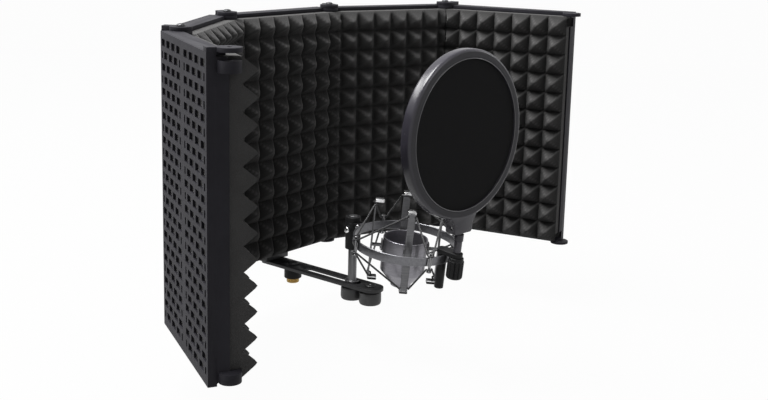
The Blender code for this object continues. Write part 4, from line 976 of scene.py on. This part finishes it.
def makeNuts():
    n = nut
    top, low, stud = n["top"], n["low"], n["low"] + n["stud"]
    shape = [(0, stud - n["seat"]), (n["bore"], stud - n["seat"]), (n["bore"], top), (n["crown"], top),
             (n["shoulder"], top - n["crownDrop"]), (n["grip"], low + n["footRise"]), (n["foot"], low), (0, low)]
    for name, y, node in (("postNut", bar["post"], "post_nut"), ("endNut", bar["endBolt"], "end_nut")):
        mesh = moved(turned(shape, n["round"], 96, 4, False, nutFlute), shift(0, y, 0))
        place(name, mesh, finish["nutPlastic"], node + "_body", [node])
    atEnd, atPost = shift(0, bar["endBolt"], 0), shift(0, bar["post"], 0)
    shank = [(studRadius, stud), (0, stud)]
    bolt = moved(turned(endBolt["head"] + shank, endBolt["round"], 48), atEnd)
    place("endBolt", bolt, finish["barCoat"], "shield_middle", ["end_bolt"])
    dot = moved(latheMesh(endBolt["dot"], 24), atEnd)
    place("boltDot", dot, finish["brightSteel"], "shield_middle", [])
    post = moved(turned(mountPost["upper"] + shank, mountPost["round"], 48), atPost)
    place("mountPost", post, finish["postSteel"], "carriage", ["post"])


makeBar()
makeHub()
makeNuts()
print("bar and stand hub made")

# collar, ring, cup and straps; heights of ring, cup and straps are from the ring's middle plane
tiltSpot = jointPlace["ring_tilt"]
tiltAngle = 6.0
collar = sizes(bore=5.55, outer=9.25, low=65, top=105, groove=6, grooveHalf=0.6, grooveDepth=0.5, round=0.9,
               footRise=5, cheekIn=4.3, cheekOut=7.3, cheekHalf=2.9, cheekRoot=-6.2, lug=3.2, pinHole=1.6,
               pinReach=9, lockHeight=90, lockBoss=5, lockRoot=6.4, lockFace=11.05, lockHole=2.5, lockHoleIn=5,
               lockHoleOut=13, pinOut=7.6, gap=0.3, soft=0.4)
ring = sizes(reach=67.6, outer=61.6, inner=59.6, half=5.25, round=0.9, tongue=4, tongueHalf=2.6, tongueRoot=1.2,
             lug=2.9, pinHole=1.6, pinReach=5)
hook = {"lead": 22.0,
        **sizes(radius=63.6, cordLevel=8, pin=1.5, round=0.5, saddleRound=0.6, saddleLow=(-1.7, -3.2, -4.5),
                saddleHigh=(0.2, 3.2, 4.5), disc=2.8, discTop=12, discLow=10.4)}
cup = sizes(radius=26.2, wall=1.6, rim=6.4, knee=-34.2, foot=12, low=-53, floor=3, round=0.7)
strap = {"count": 4, "start": 42.0,
         **sizes(radius=39.5, half=4.25, thick=1.6, top=51.5, low=-48, lip=9, lipThick=4, lipSide=0.5, notch=1.0,
                 notchDrop=1.2, tabGap=0.3, shelf=(-6, -4.4), tab=(-11, 2), soft=0.4, tipRound=0.9, plate=1.0,
                 plateRound=0.3, padGap=1.1, over=1)}
rivet = sizes(profile=[(0, 1.3), (1.5, 1.1), (2.2, 0.2), (2.2, -0.4), (0, -0.4)], round=0.3, aside=2, level=-8.6)
cord = {"sides": 14, "hookArc": (-95, -65, -38, -12, 12, 38, 65, 95), "smooth": 70, "bandsRound": 4,
        **sizes(radius=1.1, clear=0.25, ease=0.4, band=1.6, blendFrom=10, blendTo=36)}
centre = shift(*tiltSpot) @ turnX(tiltAngle) @ shift(0, -ring["reach"], 0)
armTurns = [centre @ turnZ(strap["start"] + 90 * k) for k in range(strap["count"])]
hookTurns = [turn @ turnZ(hook["lead"]) for turn in armTurns]


def makeCollar():
    c = collar
    low, top, outer = c["low"], c["top"], c["outer"]
    grooveTop = top - c["groove"]
    shape = [(c["bore"], top), (outer, top), (outer, grooveTop),
             (outer - c["grooveDepth"], grooveTop - c["grooveHalf"]), (outer, grooveTop - 2 * c["grooveHalf"]), (outer, low + c["footRise"]), (outer, low), (c["bore"], low)]
    barrel = holder(turned(shape, c["round"], 64, 3, True))
    reach = tiltSpot.y - bar["post"]
    pinAxis = shift(0, reach, tiltSpot.z) @ turnY(90)
    lockAxis = shift(0, 0, c["lockHeight"]) @ turnY(-90)
    cheeks = []
    for way in (-1, 1):
        inner, far = sorted((c["cheekIn"] * way, c["cheekOut"] * way))
        cheeks.append(boxShape((inner, reach, tiltSpot.z - c["cheekHalf"]),
                               (far, c["cheekRoot"], tiltSpot.z + c["cheekHalf"])))
        cheeks.append(rodShape(c["lug"], inner, far, sides=32, axis=pinAxis))
    body = combine(barrel, "UNION", cheeks)
    body = combine(body, "UNION", [rodShape(c["lockBoss"], c["lockRoot"], c["lockFace"], sides=40, axis=lockAxis)])
    body = combine(body, "DIFFERENCE", [
        rodShape(c["pinHole"], -c["pinReach"], c["pinReach"], sides=holeSides, axis=pinAxis),
        rodShape(c["lockHole"], c["lockHoleIn"], c["lockHoleOut"], sides=holeSides, axis=lockAxis)])
    atPost = shift(0, bar["post"], 0)
    place("swivelCollar", moved(softenEdges(body, c["soft"], 2, 50), atPost), finish["knobPlastic"], "collar_body",
          ["collar"])
    lock = moved(panHead(**screws["lock"]), atPost @ lockAxis @ shift(0, 0, c["lockFace"] + c["gap"]))
    place("collarScrew", lock, finish["brightSteel"], "collar_body", ["collar_screw"])
    pin = moved(panHead(**screws["pin"]), shift(*tiltSpot) @ turnY(-90) @ shift(0, 0, c["pinOut"]))
    place("tiltPin", pin, finish["brightSteel"], "collar_body", ["tilt_pin"])


def makeRing():
    r, h = ring, hook
    shape = [(r["inner"], r["half"]), (r["outer"], r["half"]), (r["outer"], -r["half"]), (r["inner"], -r["half"])]
    pinAxis = shift(0, r["reach"], 0) @ turnY(90)
    body = combine(holder(turned(shape, r["round"], 128, 3, True)), "UNION", [
        boxShape((-r["tongue"], r["outer"] - r["tongueRoot"], -r["tongueHalf"]),
                 (r["tongue"], r["reach"], r["tongueHalf"])),
        rodShape(r["lug"], -r["tongue"], r["tongue"], sides=32, axis=pinAxis)])
    body = bakeMesh(combine(body, "DIFFERENCE", [
        rodShape(r["pinHole"], -r["pinReach"], r["pinReach"], sides=holeSides, axis=pinAxis)]))
    place("shockRing", moved(body, centre), finish["ringCoat"], "ring_body", ["shock_ring"])
    # cord hooks, all four from one pattern
    upper = [(0, h["discTop"]), (h["disc"], h["discTop"]), (h["disc"], h["discLow"]), (h["pin"], h["discLow"])]
    pin = turned(upper + [(x, -z) for x, z in reversed(upper)], h["round"], 28)
    saddle = softBox(h["saddleLow"], h["saddleHigh"], h["saddleRound"])
    spots = [turn @ shift(h["radius"], 0, 0) for turn in hookTurns]
    hooks = setAll(joined([pin, saddle]), spots, finish["greySteel"])
    place("cordHooks", hooks, finish["greySteel"], "ring_body",
          ["cord_hook_%d" % (k + 1) for k in range(strap["count"])])


def cordLevels():
    s = strap
    drop = s["lipThick"] + s["notchDrop"] + cord["radius"] + cord["clear"]
    return s["top"] - drop, s["low"] + drop


def makeCup():
    c, s = cup, strap
    wall, knee, low, floor = c["radius"] - c["wall"], c["knee"], c["low"], c["low"] + c["floor"]
    shape = [(0, floor), (c["foot"] - c["wall"], floor), (wall, knee), (wall, c["rim"]), (c["radius"], c["rim"]),
             (c["radius"], knee), (c["foot"], floor), (c["foot"], low), (0, low)]
    place("microphoneCup", moved(turned(shape, c["round"], 96, 4), centre), finish["cupMetal"], "cup_body", ["cup"],
          40)
    inner, outer = s["radius"] - s["thick"] / 2, s["radius"] + s["thick"] / 2
    half, wide = s["half"], s["half"] + s["lipSide"]
    tabIn, lipIn = c["radius"] + s["tabGap"], inner - s["lip"]
    tabOut = tabIn + s["thick"]
    reach, over = cord["radius"] + cord["clear"], s["over"]
    arm = combine(boxShape((inner, -half, s["low"] + over), (outer, half, s["top"] - over)), "UNION", [
        boxShape((tabIn, -half, s["shelf"][0]), (outer, half, s["shelf"][1])),
        boxShape((tabIn, -half, s["tab"][0]), (tabOut, half, s["tab"][1]))])
    cuts = []
    for level in cordLevels():
        for way in (-1, 1):
            near, far = sorted((way * (half - s["notch"]), way * (half + over)))
            cuts.append(boxShape((inner - over, near, level - reach), (outer + over, far, level + reach)))
    arm = softenEdges(combine(arm, "DIFFERENCE", cuts), s["soft"])
    lowTop = s["low"] + s["lipThick"]
    tips = joined([
        softBox((lipIn, -wide, s["top"] - s["lipThick"]), (outer, wide, s["top"]), s["tipRound"], 3),
        softBox((lipIn, -wide, lowTop - s["plate"]), (outer, wide, lowTop), s["plateRound"])])
    foot = softBox((lipIn, -wide, s["low"]), (outer, wide, lowTop - s["padGap"]), s["tipRound"], 3)
    for k, turn in enumerate(armTurns):
        number = str(k + 1)
        place("strapArm_" + number, moved(arm.copy(), turn), finish["strapSteel"], "cup_body",
              ["strap_arm_" + number])
        place("strapTip_" + number, moved(tips.copy(), turn), finish["brightSteel"], "cup_body", [])
        place("strapPad_" + number, moved(foot.copy(), turn), finish["knobPlastic"], "cup_body", [])
    spots = [turn @ shift(tabOut, way, rivet["level"]) @ turnY(90)
             for turn in armTurns for way in (-rivet["aside"], rivet["aside"])]
    rivets = setAll(turned(rivet["profile"], rivet["round"], 20), spots, finish["brightSteel"])
    place("cupRivets", rivets, finish["brightSteel"], "cup_body", [])


def cordRoute(way):
    # round the inside of each strap in its notches, then round the outside of the next hook
    reach = cord["radius"] + cord["clear"] + cord["ease"]
    arm, flat = strap["radius"], strap["half"] - strap["notch"]
    inside = arm - strap["thick"] / 2 - reach
    side, bend = flat + reach, hook["pin"] + reach
    armZ = cordLevels()[0 if way > 0 else 1]
    hookZ = way * hook["cordLevel"]
    half = [(arm + 0.8 * mm, side + 0.2 * mm), (arm - 0.6 * mm, side), (inside + 0.5 * mm, side - 0.8 * mm),
            (inside, flat - 0.3 * mm)]
    atArm = [(x, -y) for x, y in half] + [(inside, 0.0)] + half[::-1]
    angles = [math.radians(angle) for angle in cord["hookArc"]]
    atHook = [(hook["radius"] + bend * math.cos(angle), bend * math.sin(angle)) for angle in angles]
    route = []
    for armTurn, hookTurn in zip(armTurns, hookTurns):
        route += [armTurn @ Vector((x, y, armZ)) for x, y in atArm]
        route += [hookTurn @ Vector((x, y, hookZ)) for x, y in atHook]
    return route


def makeCord(name, way, node):
    # a round tube swept along the route, with its own along-and-round map
    route = cordRoute(way)
    sides, count = cord["sides"], len(route)
    bm = bmesh.new()
    sheet = bm.loops.layers.uv.new("braid")
    rings, travel = [], [0.0]
    for i, here in enumerate(route):
        after = route[(i + 1) % count]
        ahead = (after - route[i - 1]).normalized()
        out = here - centre.translation
        out = (out - ahead * out.dot(ahead)).normalized()
        up = ahead.cross(out)
        turns = [2 * math.pi * s / sides for s in range(sides)]
        rings.append([bm.verts.new(here + (out * math.cos(turn) + up * math.sin(turn)) * cord["radius"])
                      for turn in turns])
        travel.append(travel[-1] + (after - here).length)
    for i in range(count):
        k = (i + 1) % count
        for s in range(sides):
            t = (s + 1) % sides
            face = bm.faces.new((rings[i][s], rings[k][s], rings[k][t], rings[i][t]))
            around = (s, s, s + 1, s + 1)
            along = (travel[i], travel[i + 1], travel[i + 1], travel[i])
            for loop, a, r in zip(face.loops, along, around):
                loop[sheet].uv = (a / cord["band"], r / sides * cord["bandsRound"])
    bmesh.ops.recalc_face_normals(bm, faces=bm.faces)
    piece = addPiece(name, meshFrom(bm, name), braidFinish, cord["smooth"])
    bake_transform(piece, "ring_body", "cup_body", start=tuple(centre @ Vector((0, 0, way * cord["blendFrom"]))),
             end=tuple(centre @ Vector((0, 0, way * cord["blendTo"]))))
    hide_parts(node)
    print(name, "length %.0f mm" % (travel[-1] / mm))


makeCollar()
makeRing()
makeCup()
makeCord("upperCord", 1, "upper_cord")
makeCord("lowerCord", -1, "lower_cord")
print("shock mount made")

# pop filter; clamp, post and holder stand on the ring's middle plane, the hoop on its tilt screw
clamp = sizes(post=-73.0, bridgeLow=5.55, bridgeTop=10.55, bridge=7, jaw=5.3, jawLow=-37.5, lipLeft=(-7, 4.8),
              lipWidth=2.2, lipThick=1.0, lipDrop=8, bore=3.3, gap=0.3, over=1, round=0.8)
knob = sizes(length=25, bore=3.3, collar=8.5, collarDrop=3.2, grip=9.5, gripDrop=4.2, gripFoot=2, foot=8, cap=4.2,
             round=0.8)
knobFlute = (12, 1.1 * mm, 9.2 * mm)
stem = sizes(radius=4.5, stud=3, studDrop=2.3, studFoot=4.5, gap=0.3, round=0.5)
hoopHolder = {"turn": -4.8,
              **sizes(low=25.35, top=33.35, pivot=42.55, radius=5.3, tongue=3.6, neck=2.4, half=4.0, pinHole=1.9,
                      pinReach=6, bore=3.3, gap=0.3, over=1, round=0.5)}
hoop = {"lean": 6.0, "steps": 160, "bends": (0.26, 0.52, 0.79, 1.05, 1.31, 1.57), "faceOn": 0.95, "mattShare": 0.8,
        **sizes(radius=95.5, face=10.7, depth=15, bend=4, lift=104.5, setBack=2.4, sink=4.5,
                lip=[(1.5, 0), (1.2, 0.35), (0.8, 0), (0.2, 0), (0, 0.3)])}
foot = sizes(half=15.3, shoulder=24, below=7.5, sideTop=4.2, front=4.9, rear=9, flare=[(5.2, 10.4), (2.2, 7.2)],
             flareFoot=0.6, sideFoot=2.0, chin=2.5, round=0.9, gap=0.3, slotTop=0.6, through=20)
sheet = {"rings": 8, "sides": 96, **sizes(offset=5.0, inset=0.15, weave=100)}
bead = {"sides": 8, **sizes(radius=0.55)}
beadCentre = (0.7, 0.3)
postFrame = centre @ shift(0, clamp["post"], 0)
holderFrame = postFrame @ turnZ(hoopHolder["turn"])
screwFrame = holderFrame @ shift(0, 0, hoopHolder["pivot"])
hoopFrame = screwFrame @ turnX(-hoop["lean"])


def makeClamp():
    c, k, s, h = clamp, knob, stem, hoopHolder
    low, high, over = c["bridgeLow"], c["bridgeTop"], c["over"]
    jawY = -ring["inner"] + c["gap"] + c["jaw"]
    lipY = -ring["outer"] - c["gap"]
    outline = arcPoints(0, c["post"], c["bridge"], 180, 360, 24) + arcPoints(0, jawY, c["bridge"], 0, 180, 24)
    lips = [boxShape((x, lipY - c["lipThick"], low - c["lipDrop"]), (x + c["lipWidth"], lipY, low + over))
            for x in c["lipLeft"]]
    jaw = rodShape(c["jaw"], c["jawLow"], low + over, y=jawY)
    body = combine(plateShape(outline, low, high), "UNION", [jaw, *lips])
    body = combine(body, "DIFFERENCE", [rodShape(c["bore"], low - over, high + over, y=c["post"], sides=32)])
    place("filterClamp", moved(softenEdges(body, c["round"], 3, 50), centre), finish["knobPlastic"], "ring_body",
          ["pop_clamp"])
    top = low - c["gap"]
    end = top - k["length"]
    grip = roundedProfile([(k["bore"], top), (k["collar"], top), (k["collar"], top - k["collarDrop"]),
                           (k["grip"], top - k["gripDrop"]), (k["grip"], end + k["gripFoot"]), (k["foot"], end),
                           (0, end)], k["round"])
    cap = [(0, end + k["cap"]), (k["bore"], end + k["cap"])]
    place("clampKnob", moved(latheMesh(cap + grip, 120, False, knobFlute), postFrame), finish["knobPlastic"],
          "clamp_knob_body", ["clamp_knob"])
    seat, stud, neck = high + c["gap"], h["top"] - s["studDrop"], h["low"] - s["gap"]
    rod = turned([(0, stud), (s["stud"], stud), (s["stud"], neck), (s["radius"], neck), (s["radius"], seat),
                  (s["stud"], seat), (s["stud"], end + s["studFoot"]), (0, end + s["studFoot"])], s["round"], 40)
    place("filterPost", moved(rod, holderFrame), finish["filterPostCoat"], "pop_post_body", ["pop_post"])
    across = shift(0, 0, h["pivot"]) @ turnY(90)
    sleeve = combine(rodShape(h["radius"], h["low"], h["top"]), "UNION", [
        boxShape((-h["half"], -h["neck"], h["top"] - h["over"]), (h["half"], h["neck"], h["pivot"])),
        rodShape(h["tongue"], -h["half"], h["half"], sides=40, axis=across)])
    sleeve = combine(sleeve, "DIFFERENCE", [
        rodShape(h["bore"], h["low"] - h["over"], stud + h["gap"], sides=32),
        rodShape(h["pinHole"], -h["pinReach"], h["pinReach"], sides=holeSides, axis=across)])
    place("hoopHolder", moved(softenEdges(sleeve, h["round"], 3, 50), holderFrame), finish["hoopPlastic"],
          "pop_post_body", ["pop_holder"])
    tilt = moved(panHead(**screws["tilt"]), screwFrame @ turnY(90) @ shift(0, 0, foot["half"] + h["gap"]))
    place("filterScrew", tilt, finish["brightSteel"], "pop_post_body", ["pop_tilt_screw"])


def hoopFoot():
    f = foot
    sink = hoop["radius"] - hoop["sink"]
    spread = math.degrees(math.asin(f["shoulder"] / sink))
    outline = arcPoints(0, hoop["lift"], sink, 270 + spread, 270 - spread, 24)
    left = [(-f["half"] - x, z) for x, z in f["flare"]]
    left += [(-f["half"] - f["flareFoot"], f["sideTop"]), (-f["half"], f["sideFoot"]),
             (-f["half"], -f["below"] + f["chin"]), (-f["half"] + f["chin"], -f["below"])]
    outline += left + [(-x, z) for x, z in reversed(left)]
    block = plateShape(outline, -f["rear"], f["front"])
    moved(block.data, turnX(90))
    return holder(softenEdges(block, f["round"], 3, 50))


def makeHoop():
    h, f = hoop, foot
    half, inner, bend = h["depth"] / 2, h["radius"] - h["face"], h["bend"]
    core = h["radius"] - bend
    # flat back, a full round outside and a flat front with a thin raised lip at the mesh
    shape = [(inner, half), (core, half)]
    shape += [(core + bend * math.sin(a), half - bend + bend * math.cos(a)) for a in h["bends"]]
    shape += [(core + bend * math.cos(a), bend - half - bend * math.sin(a)) for a in (0.0, *h["bends"])]
    shape += [(inner + x, -half + z) for x, z in h["lip"]]
    toHoop = shift(0, h["setBack"], h["lift"]) @ turnX(-90)
    rim = holder(moved(latheMesh(shape[::-1], h["steps"], True), toHoop))
    tongue = hoopHolder["tongue"]
    side = hoopHolder["half"] + f["gap"]
    slot = boxShape((-side, -tongue - f["gap"], -f["through"]), (side, f["through"], tongue + f["slotTop"]))
    hole = rodShape(hoopHolder["pinHole"], -f["through"], f["through"], sides=holeSides, axis=turnY(90))
    body = bakeMesh(combine(combine(rim, "UNION", [hoopFoot()]), "DIFFERENCE", [slot, hole]))
    # the flat front and back of the rim are matt and darkened with painted shade, its round outside and the foot are
    # satin
    mark = body.attributes.new("mattAndShaded", "FLOAT", "FACE")
    for face in body.polygons:
        reach = math.hypot(face.center.x, face.center.z - h["lift"])
        flat = abs(face.normal.y) > h["faceOn"] and reach < h["radius"] - h["mattShare"] * bend
        mark.data[face.index].value = 1.0 if flat else 0.0
    place("filterHoop", moved(body, hoopFrame), finish["hoopPlastic"], "pop_filter_body", ["pop_hoop"],
          45)
    # a thin pale bead where the front mesh meets the rim, a painted highlight along the lip
    angles = [2 * math.pi * i / bead["sides"] for i in range(bead["sides"])]
    loop = [(inner + bead["radius"] * (beadCentre[0] + math.cos(a)),
             -half + bead["radius"] * (beadCentre[1] - math.sin(a))) for a in angles]
    beadRing = moved(latheMesh(loop[::-1], h["steps"], True), hoopFrame @ toHoop)
    place("meshBead", beadRing, finish["highlightBeadPlastic"], "pop_filter_body", [], 60)


def makeMesh(name, offset, node):
    radius = hoop["radius"] - hoop["face"] - sheet["inset"]
    depth, lift, sides = hoop["setBack"] + offset, hoop["lift"], sheet["sides"]
    bm = bmesh.new()
    weave = bm.loops.layers.uv.new("weave")
    rings = [[bm.verts.new((0, depth, lift))]]
    for k in range(1, sheet["rings"] + 1):
        reach = radius * k / sheet["rings"]
        turns = [2 * math.pi * i / sides for i in range(sides)]
        rings.append([bm.verts.new((reach * math.cos(turn), depth, lift + reach * math.sin(turn)))
                      for turn in turns])
    for near, far in zip(rings, rings[1:]):
        for i in range(sides):
            j = (i + 1) % sides
            bm.faces.new((near[0], far[i], far[j]) if len(near) == 1 else (near[i], far[i], far[j], near[j]))
    for loop in (loop for face in bm.faces for loop in face.loops):
        loop[weave].uv = (loop.vert.co.x / sheet["weave"], (loop.vert.co.z - lift) / sheet["weave"])
    if offset > 0:
        bmesh.ops.reverse_faces(bm, faces=bm.faces)
    cloth = place(name, moved(meshFrom(bm, name), hoopFrame), weaveFinish, "pop_filter_body", [node])


makeClamp()
makeHoop()
makeMesh("filterMeshFront", -sheet["offset"], "pop_mesh_front")
makeMesh("filterMeshBack", sheet["offset"], "pop_mesh_back")
print("pop filter made")
